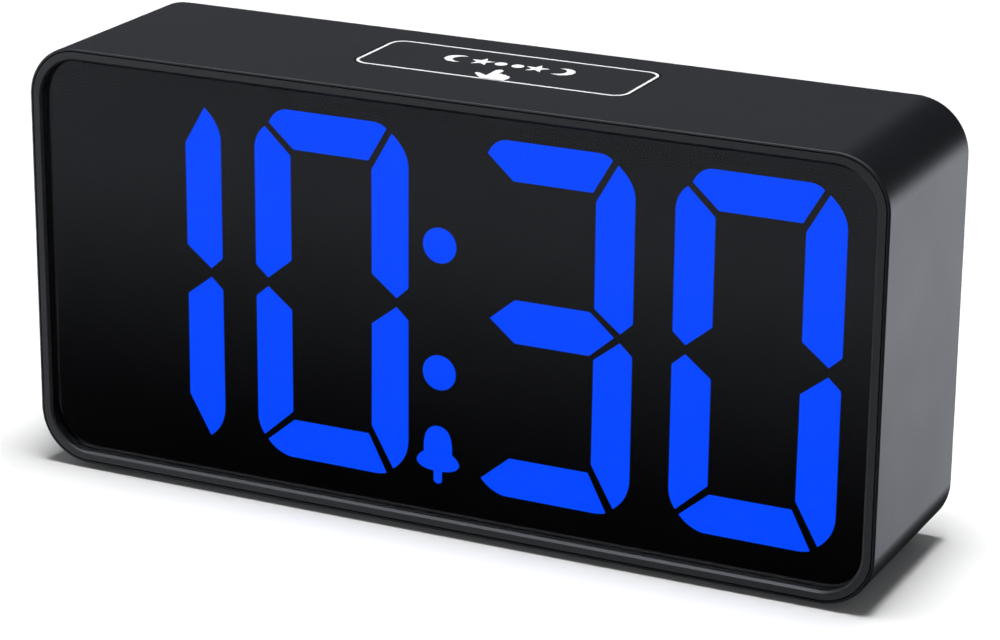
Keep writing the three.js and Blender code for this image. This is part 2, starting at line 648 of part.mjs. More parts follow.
// ---- Sockets ----
function powerBoard() {
  const high = POWER_BOARD_TOP - 0.05;
  return solid(prismZ(rectangle(35, 12.5, 0.5, 48.5, 7.5), high - BOARD_THICKNESS, high, 2));
}

function powerJack() {
  const body = blockY(9, 11, 4, COVER_INNER - 0.1, JACK_X, POWER_BOARD_TOP + 5.5);
  const nose = rodY(3.9, COVER_INNER - 0.3, COVER_OUTER - 0.3, JACK_X, JACK_Z);
  const bore = rodY(3.15, 7.5, BACK, JACK_X, JACK_Z);
  return cutFrom(joined(body, nose), bore);
}

const powerJackPin = () => rodY(1, 7.6, COVER_OUTER - 1, JACK_X, JACK_Z, 5);

function usbShell() {
  const outer = rectangle(USB_WIDTH, USB_HEIGHT, 0.6, USB_X, USB_Z);
  const inner = rectangle(USB_WIDTH - 2 * USB_WALL, USB_HEIGHT - 2 * USB_WALL, 0.3, USB_X, USB_Z);
  const shell = solid(prismY(outer, 3.8, COVER_OUTER - 0.2, 2));
  return cutFrom(shell, solid(prismY(inner, 5.4, BACK, 2)));
}

const usbTongue = () => blockY(11.2, 1.8, 5.45, COVER_OUTER - 1.4, USB_X, POWER_BOARD_TOP + 3.7);

// ---- Ribbon cable between the boards: a flat strip that turns up once and back ----
function ribbonCable() {
  const half = CABLE_THICKNESS / 2;
  const near = DISPLAY_BOARD_BACK + CONNECTOR_HEIGHT + GAP;
  const far = CONTROL_BOARD_FRONT - CONNECTOR_HEIGHT - GAP;
  const [low, high] = [DISPLAY_CONNECTOR_Z, CONTROL_CONNECTOR_Z];
  const middle = [(near + far) / 2, (low + high) / 2];
  const centre = [[near, low], [near + 1, low + 0.6], middle, [far - 1, high - 0.6], [far, high]];
  const curve = new THREE.SplineCurve(centre.map(([y, z]) => new THREE.Vector2(y, z)));
  const side = (sign) =>
    curve.getPoints(14).map((point, i) => {
      const tangent = curve.getTangent(i / 14);
      return new THREE.Vector2(point.x - sign * half * tangent.y, point.y + sign * half * tangent.x);
    });
  const strip = new THREE.Shape([...side(-1), ...side(1).reverse()]);
  return solid(prismX(strip, CABLE_X - CABLE_WIDTH / 2, CABLE_X + CABLE_WIDTH / 2));
}

// ---- Assembly ----
function part(name, shape, material, position = [0, 0, 0], rotation = [0, 0, 0]) {
  const made = new THREE.Mesh(geometryOf(shape), MATERIALS[material]);
  made.name = name;
  made.position.set(...position);
  made.rotation.set(...rotation);
  return made;
}

function group(...members) {
  return new THREE.Group().add(...members);
}

const FACING_BACK = [-Math.PI / 2, 0, 0];

const shell = group(
  part("housing_sleeve", housingSleeve(), "case"),
  part("front_bezel", frontBezel(), "bezel"),
  part("display_lens", displayLens(), "lens"),
  part("rear_cover", rearCover(), "case"),
  part("battery_door", batteryDoor(), "case", [0, 0, BAY_Z]),
  ...CORNERS.map(([x, y], i) =>
    part(`rubber_foot_${i + 1}`, rubberFoot(), "rubber", [x * FOOT_X, y * FOOT_Y, BOTTOM - FOOT_PROUD]),
  ),
  ...CORNERS.map(([x, z], i) =>
    part(
      `case_screw_${i + 1}`, crossScrew(2.6, 1.1, 1.2, 8), "screw",
      [x * SCREW_X, COVER_OUTER - 1.15, z * SCREW_Z], FACING_BACK,
    ),
  ),
);

const display = group(
  part("segment_diffuser", segmentDiffuser(), "diffuser"),
  part("display_reflector", displayReflector(), "reflector"),
  part("display_board", displayBoard(), "board"),
  part("clock_chip", clockChip(), "component", [-20, DISPLAY_BOARD_BACK + 0.05, 6]),
  part("crystal", crystalCan(), "nickel", [-4, DISPLAY_BOARD_BACK + 1.6, 6]),
  part("capacitor", capacitorCan(), "component", [10, DISPLAY_BOARD_BACK + 0.05, 10]),
  part("ribbon_cable", ribbonCable(), "cable"),
);

const snooze = group(
  part("snooze_key", snoozeKey(), "key"),
  part("snooze_plunger", switchPlunger(), "plunger", [0, 0, SNOOZE_SWITCH_Z]),
  part("snooze_switch", switchBody(), "component", [0, 0, SNOOZE_SWITCH_Z]),
  part("snooze_board", snoozeBoard(), "board"),
);
snooze.position.set(SNOOZE_X, SNOOZE_Y, 0);

const KEY_NAMES = ["time_key", "alarm_key", "minus_key", "plus_key", "format_key"];
const settingKeys = KEY_NAMES.map((name, i) => {
  const unit = group(
    part(name, settingKey(), "key"),
    part(`${name}_plunger`, switchPlunger(), "plunger", [0, 0, MOUNTED]),
    part(`${name}_switch`, switchBody(), "component", [0, 0, MOUNTED]),
  );
  unit.rotation.set(...FACING_BACK);
  unit.position.set(KEY_XS[i], 0, ROW_Z);
  return unit;
});

const controls = group(
  part("control_board", controlBoard(), "board"),
  ...settingKeys,
  part("alarm_slider_body", sliderBody(), "component"),
  part("alarm_slider_knob", sliderKnob(), "key", [SLIDER_X - SLIDER_TRAVEL / 2, 0, ROW_Z]),
  part("dimmer_potentiometer", dimmerPotentiometer(), "component"),
  part("dimmer_shaft", dimmerShaft(), "nickel", [WHEEL_X, WHEEL_Y, 0]),
  part("dimmer_wheel", dimmerWheel(), "key", [WHEEL_X, WHEEL_Y, ROW_Z]),
);

const speaker = group(
  part("speaker_frame", speakerFrame(), "nickel"),
  part("speaker_cone", speakerCone(), "cone"),
  part("speaker_magnet", speakerMagnet(), "screw"),
);
speaker.rotation.set(...FACING_BACK);
speaker.position.set(SPEAKER_X, COVER_INNER - 0.1, SPEAKER_Z);

// The two cells lie in opposite directions, each pressed on by the spring at its flat end.
const cellY = BAY_FLOOR + 0.1 + CELL_RADIUS;
const cellX = BAY_WIDTH / 2 - CONTACT_THICKNESS - 0.2 - NUB_LENGTH - CELL_LENGTH / 2;
const contactX = BAY_WIDTH / 2 - 0.1 - CONTACT_THICKNESS;
const [lowerZ, upperZ] = [-CELL_PITCH / 2, CELL_PITCH / 2];
const ABOUT_FACE = [0, 0, Math.PI];
const batteries = group(
  part("battery_cell_1", batteryCell(), "cell", [cellX, 0, lowerZ]),
  part("battery_cell_2", batteryCell(), "cell", [-cellX, 0, upperZ], ABOUT_FACE),
  part("battery_bridge_contact", contactPlate(20), "nickel", [-contactX - CONTACT_THICKNESS, 0, 0]),
  part("battery_plus_contact", contactPlate(9), "nickel", [contactX, 0, lowerZ]),
  part("battery_minus_contact", contactPlate(9), "nickel", [contactX, 0, upperZ]),
  part("battery_spring_1", contactSpring(), "nickel", [-contactX, 0, lowerZ]),
  part("battery_spring_2", contactSpring(), "nickel", [contactX, 0, upperZ], ABOUT_FACE),
);
batteries.position.set(0, cellY, BAY_Z);

const sockets = group(
  part("power_board", powerBoard(), "board"),
  part("power_jack", powerJack(), "component"),
  part("power_jack_pin", powerJackPin(), "nickel"),
  part("usb_shell", usbShell(), "nickel"),
  part("usb_tongue", usbTongue(), "plunger"),
);

const clock = group(shell, display, snooze, controls, speaker, batteries, sockets);
clock.position.z = FOOT_PROUD + CASE_HEIGHT / 2;

export default group(clock);
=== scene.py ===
"""A bedside alarm clock, dressed around its engineering model.

The case, window, digits, snooze key and everything on the back are modelled here at full quality, each
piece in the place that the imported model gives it. Lengths are metres; a millimetre is written as MM.
"""
import logging
import math
from collections.abc import Iterable, Iterator, Sequence
from contextlib import contextmanager
from dataclasses import dataclass, field
from enum import Enum

import bmesh
import bpy
from mathutils import Matrix, Vector


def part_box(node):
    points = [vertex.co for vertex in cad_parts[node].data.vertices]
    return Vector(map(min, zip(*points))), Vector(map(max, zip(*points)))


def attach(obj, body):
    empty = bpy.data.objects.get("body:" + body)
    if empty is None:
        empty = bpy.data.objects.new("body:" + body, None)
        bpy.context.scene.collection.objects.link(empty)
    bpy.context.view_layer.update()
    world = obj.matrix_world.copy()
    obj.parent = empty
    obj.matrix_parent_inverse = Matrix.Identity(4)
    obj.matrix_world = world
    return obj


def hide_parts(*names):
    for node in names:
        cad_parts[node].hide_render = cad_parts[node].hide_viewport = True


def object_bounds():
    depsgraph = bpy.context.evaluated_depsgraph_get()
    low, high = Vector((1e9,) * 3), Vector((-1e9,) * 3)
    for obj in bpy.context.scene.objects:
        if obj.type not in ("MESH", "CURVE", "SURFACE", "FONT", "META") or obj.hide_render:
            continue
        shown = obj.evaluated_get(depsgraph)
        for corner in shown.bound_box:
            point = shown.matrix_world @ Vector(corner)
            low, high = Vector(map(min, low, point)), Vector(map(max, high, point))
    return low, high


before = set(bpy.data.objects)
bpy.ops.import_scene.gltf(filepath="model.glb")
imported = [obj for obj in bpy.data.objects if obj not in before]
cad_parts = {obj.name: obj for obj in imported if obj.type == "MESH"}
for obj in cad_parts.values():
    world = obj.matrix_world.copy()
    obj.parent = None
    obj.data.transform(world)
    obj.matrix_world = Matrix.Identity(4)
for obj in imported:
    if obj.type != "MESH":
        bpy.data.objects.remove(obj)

CAD_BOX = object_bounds()
MM = 0.001
ON_PLANE = 1e-7
CORNERS = range(1, 5)
Colour = tuple[float, float, float]
Outline = list[tuple[float, float]]
log = logging.getLogger("alarm_clock")


# ---------------------------------------------------------------- places


class Axis(Enum):
    """An axis of the clock's frame: X to the right, Y to the back, Z up."""

    X = 0
    Y = 1
    Z = 2


@dataclass(frozen=True)
class Box:
    """A box along the clock's axes, from its lowest to its highest corner."""

    low: Vector
    high: Vector

    @classmethod
    def of(cls, node: str) -> "Box":
        """Take the box of a node of the engineering model.

        Args:
            node: the node's name.

        Returns:
            The node's box at rest.
        """
        low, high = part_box(node)
        return cls(Vector(low), Vector(high))

    @property
    def middle(self) -> Vector:
        """The box's centre."""
        return (self.low + self.high) / 2

    @property
    def size(self) -> Vector:
        """The box's edge lengths."""
        return self.high - self.low

    def grown(self, x: float = 0, y: float = 0, z: float = 0) -> "Box":
        """Move every side outwards.

        Args:
            x: distance for the two sides across X.
            y: distance for the two sides across Y.
            z: distance for the two sides across Z.

        Returns:
            The larger box, or a smaller one where a distance is negative.
        """
        step = Vector((x, y, z))
        return Box(self.low - step, self.high + step)

    def between(self, axis: Axis, low: float, high: float) -> "Box":
        """Give the box new limits along one axis.

        Args:
            axis: the axis that changes.
            low: the new lower limit.
            high: the new upper limit.

        Returns:
            The changed box.
        """
        start, end = self.low.copy(), self.high.copy()
        start[axis.value] = low
        end[axis.value] = high
        return Box(start, end)

    @classmethod
    def around(cls, centre: Iterable[float], size: Iterable[float]) -> "Box":
        """Make a box about a point.

        Args:
            centre: the box's centre.
            size: the box's edge lengths.

        Returns:
            The box.
        """
        middle, half = Vector(centre), Vector(size) / 2
        return cls(middle - half, middle + half)


# ---------------------------------------------------------------- modelling


def select_only(*bodies: bpy.types.Object) -> None:
    """Select these objects and nothing else, the first one active."""
    bpy.ops.object.select_all(action="DESELECT")
    for body in bodies:
        body.select_set(True)
    bpy.context.view_layer.objects.active = bodies[0]


@contextmanager
def editing(body: bpy.types.Object, element: str) -> Iterator[bmesh.types.BMesh]:
    """Open a mesh in edit mode with nothing selected.

    Args:
        body: the object to edit.
        element: what is selected: VERT, EDGE or FACE.

    Yields:
        The mesh under edit.
    """
    select_only(body)
    bpy.ops.object.mode_set(mode="EDIT")
    bpy.ops.mesh.select_mode(type=element)
    bpy.ops.mesh.select_all(action="DESELECT")
    yield bmesh.from_edit_mesh(body.data)
    bpy.ops.object.mode_set(mode="OBJECT")


class Solid:
    """A closed mesh, shaped with Blender's modelling operators."""

    def __init__(self, body: bpy.types.Object) -> None:
        """Wrap a mesh object."""
        self.body = body

    @classmethod
    def block(cls, box: Box) -> "Solid":
        """Add a box-shaped start for a piece.

        Args:
            box: its place and size.

        Returns:
            The new solid.
        """
        bpy.ops.object.select_all(action="DESELECT")
        bpy.ops.mesh.primitive_cube_add(size=1, location=box.middle, scale=box.size)
        bpy.ops.object.transform_apply()
        return cls(bpy.context.active_object)

    @classmethod
    def disc(
        cls, axis: Axis, centre: Iterable[float], radius: float, depth: float, sides: int = 48
    ) -> "Solid":
        """Add a round start for a piece.

        Args:
            axis: the axis that it is round about.
            centre: its middle.
            radius: its radius.
            depth: its length along the axis.
            sides: how many flats stand for the round.

        Returns:
            The new solid.
        """
        turns = {Axis.X: (0, math.pi / 2, 0), Axis.Y: (math.pi / 2, 0, 0), Axis.Z: (0, 0, 0)}
        bpy.ops.object.select_all(action="DESELECT")
        bpy.ops.mesh.primitive_cylinder_add(
            vertices=sides, radius=radius, depth=depth, location=tuple(centre), rotation=turns[axis]
        )
        bpy.ops.object.transform_apply()
        return cls(bpy.context.active_object)

    @classmethod
    def prism(cls, outlines: Sequence[Outline], axis: Axis, low: float, high: float) -> "Solid":
        """Stand flat outlines up into solids.

        Args:
            outlines: closed outlines; one inside another is a hole. Across Y they hold X and Z, across Z they
                hold X and Y.
            axis: the axis that they stand along, Y or Z.
            low: where they start on it.
            high: where they end on it.

        Returns:
            All the outlines as one solid.
        """
        curve = bpy.data.curves.new("outline", "CURVE")
        curve.dimensions = "2D"
        curve.fill_mode = "BOTH"
        curve.extrude = (high - low) / 2
        for outline in outlines:
            spline = curve.splines.new("POLY")
            spline.points.add(len(outline) - 1)
            for point, (across, up) in zip(spline.points, outline):
                point.co = (across, up, 0, 1)
            spline.use_cyclic_u = True
        body = bpy.data.objects.new("outline", curve)
        bpy.context.scene.collection.objects.link(body)
        select_only(body)
        bpy.ops.object.convert(target="MESH")
        if axis is Axis.Y:
            body.rotation_euler.x = math.pi / 2
        body.location[axis.value] = (low + high) / 2
        bpy.ops.object.transform_apply()
        with editing(body, "VERT"):
            bpy.ops.mesh.select_all(action="SELECT")
            bpy.ops.mesh.remove_doubles(threshold=1e-6)
            bpy.ops.mesh.normals_make_consistent(inside=False)
        return cls(body)

    @classmethod
    def wire(cls, route: Sequence[Vector], radius: float) -> "Solid":
        """Lay a round wire along a route.

        Args:
            route: the points on the wire's middle line.
            radius: the wire's radius.

        Returns:
            The wire, with closed ends.
        """
        curve = bpy.data.curves.new("wire", "CURVE")
        curve.dimensions = "3D"
        curve.bevel_depth = radius
        curve.bevel_resolution = 3
        curve.use_fill_caps = True
        spline = curve.splines.new("POLY")
        spline.points.add(len(route) - 1)
        for point, place in zip(spline.points, route):
            point.co = (*place, 1)
        body = bpy.data.objects.new("wire", curve)
        bpy.context.scene.collection.objects.link(body)
        select_only(body)
        bpy.ops.object.convert(target="MESH")
        with editing(body, "VERT"):
            bpy.ops.mesh.select_all(action="SELECT")
            bpy.ops.mesh.remove_doubles(threshold=1e-7)
        return cls(body)

    def copy(self, offset: Iterable[float] = (0, 0, 0)) -> "Solid":
        """Copy the solid, with a mesh of its own.

        Args:
            offset: how far the copy is moved.

        Returns:
            The copy.
        """
        twin = self.body.copy()
        twin.data = self.body.data.copy()
        bpy.context.scene.collection.objects.link(twin)
        twin.location = Vector(offset)
        select_only(twin)
        bpy.ops.object.transform_apply()
        return Solid(twin)

    def round_edges(self, axis: Axis, radius: float, segments: int = 12) -> "Solid":
        """Round the edges that run along an axis.

        Args:
            axis: the edges' direction.
            radius: the radius of the rounding.
            segments: how many flats stand for each round.

        Returns:
            The same solid.
        """
        with editing(self.body, "EDGE") as mesh:
            for edge in mesh.edges:
                run = (edge.verts[1].co - edge.verts[0].co).normalized()
                edge.select_set(abs(run[axis.value]) > 0.999)
            bpy.ops.mesh.bevel(offset=radius, segments=segments, affect="EDGES")
        return self

    def _end(self, axis: Axis, side: int) -> float:
        """How far the solid reaches along an axis, towards one side."""
        return max(side * vertex.co[axis.value] for vertex in self.body.data.vertices)

    def round_end(self, axis: Axis, side: int, radius: float, segments: int = 4) -> "Solid":
        """Round the rim of one end.

        Args:
            axis: the axis that the end looks along.
            side: 1 for the end with the highest coordinate, -1 for the lowest.
            radius: the radius of the rounding.
            segments: how many flats stand for the round.

        Returns:
            The same solid.
        """
        end = self._end(axis, side)
        with editing(self.body, "EDGE") as mesh:
            for edge in mesh.edges:
                on_end = all(abs(side * v.co[axis.value] - end) < ON_PLANE for v in edge.verts)
                is_rim = any(abs(face.normal[axis.value]) < 0.9 for face in edge.link_faces)
                edge.select_set(on_end and is_rim)
            bpy.ops.mesh.bevel(offset=radius, segments=segments, affect="EDGES")
        return self

    def dish(self, axis: Axis, side: int, rim: float, depth: float) -> "Solid":
        """Sink the middle of one end.

        Args:
            axis: the axis that the end looks along.
            side: 1 for the end with the highest coordinate, -1 for the lowest.
            rim: the width of the rim that stays up.
            depth: how deep the middle goes.

        Returns:
            The same solid.
        """
        end = self._end(axis, side)
        with editing(self.body, "FACE") as mesh:
            for face in mesh.faces:
                face.select_set(all(abs(side * v.co[axis.value] - end) < ON_PLANE for v in face.verts))
            for share in (0.35, 0.4, 0.25):
                bpy.ops.mesh.inset(thickness=rim)
                move = [0.0, 0.0, 0.0]
                move[axis.value] = -side * depth * share
                bpy.ops.transform.translate(value=move)
        return self

    def _combine(self, tools: Iterable["Solid"], operation: str) -> "Solid":
        """Apply a boolean with each tool in turn, and use the tools up."""
        for tool in tools:
            change = self.body.modifiers.new("combine", "BOOLEAN")
            change.operation = operation
            change.solver = "EXACT"
            change.object = tool.body
            select_only(self.body)
            bpy.ops.object.modifier_apply(modifier=change.name)
            bpy.data.objects.remove(tool.body)
        return self

    def cut(self, *tools: "Solid") -> "Solid":
        """Cut the tools away from the solid, which is returned."""
        return self._combine(tools, "DIFFERENCE")

    def add(self, *tools: "Solid") -> "Solid":
        """Grow the solid by the tools, and return it."""
        return self._combine(tools, "UNION")

    def gather(self, *others: "Solid") -> "Solid":
        """Hold separate solids as one object, and return it."""
        if others:
            select_only(self.body, *(other.body for other in others))
            bpy.ops.object.join()
        return self

    def soften(self, width: float, segments: int = 2, angle: float = 35) -> "Solid":
        """Break every sharp edge with a small rounding.

        Args:
            width: the width of the rounding.
            segments: how many flats stand for the round.
            angle: the least angle, in degrees, that counts as sharp.

        Returns:
            The same solid.
        """
        with editing(self.body, "VERT"):
            bpy.ops.mesh.select_all(action="SELECT")
            bpy.ops.mesh.remove_doubles(threshold=2e-6)
            bpy.ops.mesh.dissolve_limited(angle_limit=math.radians(0.5))
        change = self.body.modifiers.new("soften", "BEVEL")
        change.width = width
        change.segments = segments
        change.limit_method = "ANGLE"
        change.angle_limit = math.radians(angle)
        select_only(self.body)
        bpy.ops.object.modifier_apply(modifier=change.name)
        return self

    def shaded(self, angle: float = 30) -> "Solid":
        """Smooth the shading, and keep flat faces flat.

        Args:
            angle: edges sharper than this many degrees stay crisp.

        Returns:
            The same solid.
        """
        select_only(self.body)
        bpy.ops.object.shade_smooth_by_angle(angle=math.radians(angle))
        even = self.body.modifiers.new("even", "WEIGHTED_NORMAL")
        even.keep_sharp = True
        bpy.ops.object.modifier_apply(modifier=even.name)
        return self


# ---------------------------------------------------------------- shader maths


class Value:
    """A number that varies over a surface, for use in sums."""

    def __init__(self, graph: "ShaderGraph", socket: bpy.types.NodeSocket) -> None:
        """Wrap an output socket of a graph."""
        self.graph = graph
        self.socket = socket

    def _maths(self, operation: str, first: "Value | float", second: "Value | float") -> "Value":
        """Add a Math node for two operands and return its result."""
        made = self.graph.node("ShaderNodeMath", {"operation": operation}, {0: first, 1: second})
        return Value(self.graph, made.outputs[0])

    def __add__(self, other: "Value | float") -> "Value":
        """Self plus other."""
        return self._maths("ADD", self, other)

    def __radd__(self, other: float) -> "Value":
        """Other plus self."""
        return self._maths("ADD", other, self)

    def __sub__(self, other: "Value | float") -> "Value":
        """Self minus other."""
        return self._maths("SUBTRACT", self, other)

    def __rsub__(self, other: float) -> "Value":
        """Other minus self."""
        return self._maths("SUBTRACT", other, self)

    def __mul__(self, other: "Value | float") -> "Value":
        """Self times other."""
        return self._maths("MULTIPLY", self, other)

    def __rmul__(self, other: float) -> "Value":
        """Other times self."""
        return self._maths("MULTIPLY", other, self)

    def __truediv__(self, other: "Value | float") -> "Value":
        """Self divided by other."""
        return self._maths("DIVIDE", self, other)

    def __pow__(self, other: "Value | float") -> "Value":
        """Self to the power of other."""
        return self._maths("POWER", self, other)

    def __gt__(self, other: "Value | float") -> "Value":
        """One where self is greater, zero elsewhere."""
        return self._maths("GREATER_THAN", self, other)

    def ramp(self, start: float, end: float, smooth: bool = True) -> "Value":
        """Rise from 0 to 1 between two values.

        Args:
            start: the value that gives 0.
            end: the value that gives 1.
            smooth: whether the rise eases in and out.

        Returns:
            The new value.
        """
        made = self.graph.node(
            "ShaderNodeMapRange",
            {"interpolation_type": "SMOOTHSTEP" if smooth else "LINEAR"},
            {"Value": self, "From Min": start, "From Max": end, "To Min": 0.0, "To Max": 1.0},
        )
        return Value(self.graph, made.outputs[0])


class ShaderGraph:
    """The shader nodes of one material or of the sky."""

    def __init__(self, tree: bpy.types.NodeTree, coordinates: str = "Object") -> None:
        """Start a graph.

        Args:
            tree: the node tree to fill.
            coordinates: the texture coordinates that its textures read.
        """
        self.tree = tree
        self.place = self.node("ShaderNodeTexCoord").outputs[coordinates]

    def node(
        self,
        kind: str,
        settings: dict[str, object] | None = None,
        sockets: dict[str | int, object] | None = None,
    ) -> bpy.types.Node:
        """Add a node.

        Args:
            kind: the node's type.
            settings: its settings by name, set first.
            sockets: the numbers, colours or links of its input sockets.

        Returns:
            The node.
        """
        made = self.tree.nodes.new(kind)
        for name, value in (settings or {}).items():
            setattr(made, name, value)
        for name, value in (sockets or {}).items():
            self.feed(made.inputs[name], value)
        return made

    def feed(self, socket: bpy.types.NodeSocket, value: object) -> None:
        """Give a socket a link or a constant.

        Args:
            socket: the input socket.
            value: a Value or an output socket to link, or a constant.
        """
        if isinstance(value, Value):
            value = value.socket
        if isinstance(value, bpy.types.NodeSocket):
            self.tree.links.new(value, socket)
        elif isinstance(value, tuple) and len(value) == 3 and socket.type == "RGBA":
            socket.default_value = (*value, 1)
        else:
            socket.default_value = value

    def set(self, **sockets: object) -> None:
        """Feed the Principled shader, its socket names written with underscores."""
        surface = self.tree.nodes["Principled BSDF"]
        for name, value in sockets.items():
            self.feed(surface.inputs[name.replace("_", " ")], value)

    def noise(
        self, size: float, detail: float = 3, stretch: Colour = (1, 1, 1), roughness: float = 0.5
    ) -> Value:
        """Lay a noise over the surface.

        Args:
            size: the width of its patches, in metres.
            detail: how many finer layers it has.
            stretch: how much denser it is along each axis.
            roughness: how strong the finer layers are.

        Returns:
            The noise, about 0 to 1.
        """
        mapping = self.node("ShaderNodeMapping", {}, {"Vector": self.place, "Scale": stretch})
        made = self.node(
            "ShaderNodeTexNoise",
            {},
            {"Vector": mapping.outputs[0], "Scale": 1 / size, "Detail": detail, "Roughness": roughness},
        )
        return Value(self, made.outputs[0])

    def cells(self, size: float, randomness: float = 1) -> Value:
        """Lay small rounded cells over the surface.

        Args:
            size: the width of a cell, in metres.
            randomness: 0 for a grid of cells, 1 for scattered ones.

        Returns:
            The distance from the cell's middle, in cells.
        """
        made = self.node(
            "ShaderNodeTexVoronoi", {}, {"Vector": self.place, "Scale": 1 / size, "Randomness": randomness}
        )
        return Value(self, made.outputs["Distance"])

    def along(self, axis: Axis) -> Value:
        """The place along an axis, in metres."""
        parts = self.node("ShaderNodeSeparateXYZ", {}, {0: self.place})
        return Value(self, parts.outputs[axis.value])

    def mix(self, share: Value, first: object, second: object) -> bpy.types.NodeSocket:
        """Blend two colours.

        Args:
            share: 0 for the first colour, 1 for the second.
            first: a colour or a colour socket.
            second: a colour or a colour socket.

        Returns:
            The blended colour.
        """
        made = self.node("ShaderNodeMix", {"data_type": "RGBA"})
        self.feed(made.inputs[0], share)
        self.feed(made.inputs[6], first)
        self.feed(made.inputs[7], second)
        return made.outputs[2]

    def bump(self, height: Value, depth: float, strength: float = 1.0) -> bpy.types.NodeSocket:
        """Turn a height into a normal.

        Args:
            height: the height, 0 to 1.
            depth: the depth of the relief, in metres.
            strength: how much of it is used.

        Returns:
            The normal.
        """
        made = self.node("ShaderNodeBump", {}, {"Height": height, "Distance": depth, "Strength": strength})
        return made.outputs[0]


def shade(colour: Colour, factor: float) -> Colour:
    """Make a colour lighter or darker by a factor."""
    return tuple(min(part * factor, 1.0) for part in colour)


# ---------------------------------------------------------------- finishes


class Finish:
    """A surface finish, whose material is made once."""

    name: str

    def dress(self, graph: ShaderGraph) -> None:
        """Set up the shader; each finish has its own way."""
        raise NotImplementedError

    def material(self) -> bpy.types.Material:
        """The finish's material, made the first time that it is needed."""
        made = bpy.data.materials.get(self.name)
        if made is None:
            made = bpy.data.materials.new(self.name)
            made.use_nodes = True
            self.dress(ShaderGraph(made.node_tree))
        return made


@dataclass(frozen=True)
class MouldedPlastic(Finish):
    """Injection-moulded plastic with a fine spark-eroded grain."""

    name: str
    colour: Colour
    roughness: float = 0.42
    grain: float = 0.32 * MM
    grain_depth: float = 0.012 * MM
    mottle: float = 0.10
    specular: float = 0.5

    def dress(self, graph: ShaderGraph) -> None:
        """Mottle the colour, vary the gloss and raise the grain."""
        broad = graph.noise(18 * MM, detail=2)
        fine = graph.noise(self.grain, detail=2, roughness=0.6)
        pits = graph.cells(self.grain * 1.6)
        light = broad * 0.6 + fine * 0.4
        pale = shade(self.colour, 1 + self.mottle)
        dark = shade(self.colour, 1 - self.mottle)
        graph.set(
            Base_Color=graph.mix(light, dark, pale),
            Roughness=self.roughness + 0.07 * (broad - 0.5) + 0.10 * (fine - 0.5),
            Normal=graph.bump(fine * 0.6 + pits * 0.4, self.grain_depth),
            Specular_IOR_Level=self.specular,
        )


@dataclass(frozen=True)
class SmokedWindow(Finish):
    """Polished smoked acrylic, with the faintest handling marks."""

    name: str
    colour: Colour
    ior: float = 1.3

    def dress(self, graph: ShaderGraph) -> None:
        """Tint the light that goes through, and vary the polish a little."""
        haze = graph.noise(14 * MM, detail=4)
        wipe = graph.noise(5 * MM, detail=3, stretch=(0.3, 1.0, 2.2))
        graph.set(
            Base_Color=graph.mix(haze, shade(self.colour, 0.985), shade(self.colour, 1.015)),
            Roughness=0.012 + 0.022 * haze.ramp(0.45, 0.8) * wipe,
            Transmission_Weight=1.0,
            IOR=self.ior,
        )


@dataclass(frozen=True)
class LitDiffuser(Finish):
    """A frosted diffuser with light coming through it."""

    name: str
    colour: Colour
    strength: float

    def dress(self, graph: ShaderGraph) -> None:
        """Glow evenly, a touch brighter where the noise is high."""
        cloud = graph.noise(9 * MM, detail=1)
        frost = graph.noise(0.25 * MM, detail=1)
        glow = graph.mix(cloud, shade(self.colour, 0.97), self.colour)
        graph.set(
            Base_Color=graph.mix(frost, (0.006, 0.007, 0.012), (0.009, 0.010, 0.016)),
            Roughness=0.5 + 0.1 * (frost - 0.5),
            Emission_Color=glow,
            Emission_Strength=self.strength,
            Specular_IOR_Level=0.1,
        )


@dataclass(frozen=True)
class PrintedInk(Finish):
    """Thick screen-printed ink, slightly uneven."""

    name: str
    colour: Colour
    roughness: float = 0.55

    def dress(self, graph: ShaderGraph) -> None:
        """Vary the ink's density and raise its print texture."""
        density = graph.noise(0.9 * MM, detail=3)
        mesh = graph.noise(0.12 * MM, detail=1)
        graph.set(
            Base_Color=graph.mix(density, shade(self.colour, 0.93), self.colour),
            Roughness=self.roughness + 0.12 * (density - 0.5),
            Normal=graph.bump(mesh, 0.006 * MM),
        )


@dataclass(frozen=True)
class SoftRubber(Finish):
    """Matt moulded rubber with a dusty bloom."""

    name: str
    colour: Colour

    def dress(self, graph: ShaderGraph) -> None:
        """Bloom the colour and roughen the surface."""
        bloom = graph.noise(3 * MM, detail=4)
        pores = graph.noise(0.2 * MM, detail=2)
        graph.set(
            Base_Color=graph.mix(bloom.ramp(0.4, 0.8), self.colour, shade(self.colour, 1.8)),
            Roughness=0.82 + 0.1 * (pores - 0.5),
            Normal=graph.bump(pores, 0.03 * MM),
        )


@dataclass(frozen=True)
class PlatedMetal(Finish):
    """Bright plated metal with fine drawing marks."""

    name: str
    colour: Colour
    roughness: float = 0.28
    lines: Colour = (1, 14, 1)

    def dress(self, graph: ShaderGraph) -> None:
        """Lay the drawing marks along the metal and dull it in patches."""
        marks = graph.noise(0.5 * MM, detail=3, stretch=self.lines)
        patch = graph.noise(4 * MM, detail=3)
        graph.set(
            Base_Color=graph.mix(patch, shade(self.colour, 0.85), self.colour),
            Roughness=self.roughness + 0.14 * (marks - 0.5) + 0.12 * (patch - 0.5),
            Metallic=1.0,
            Normal=graph.bump(marks, 0.006 * MM),
        )


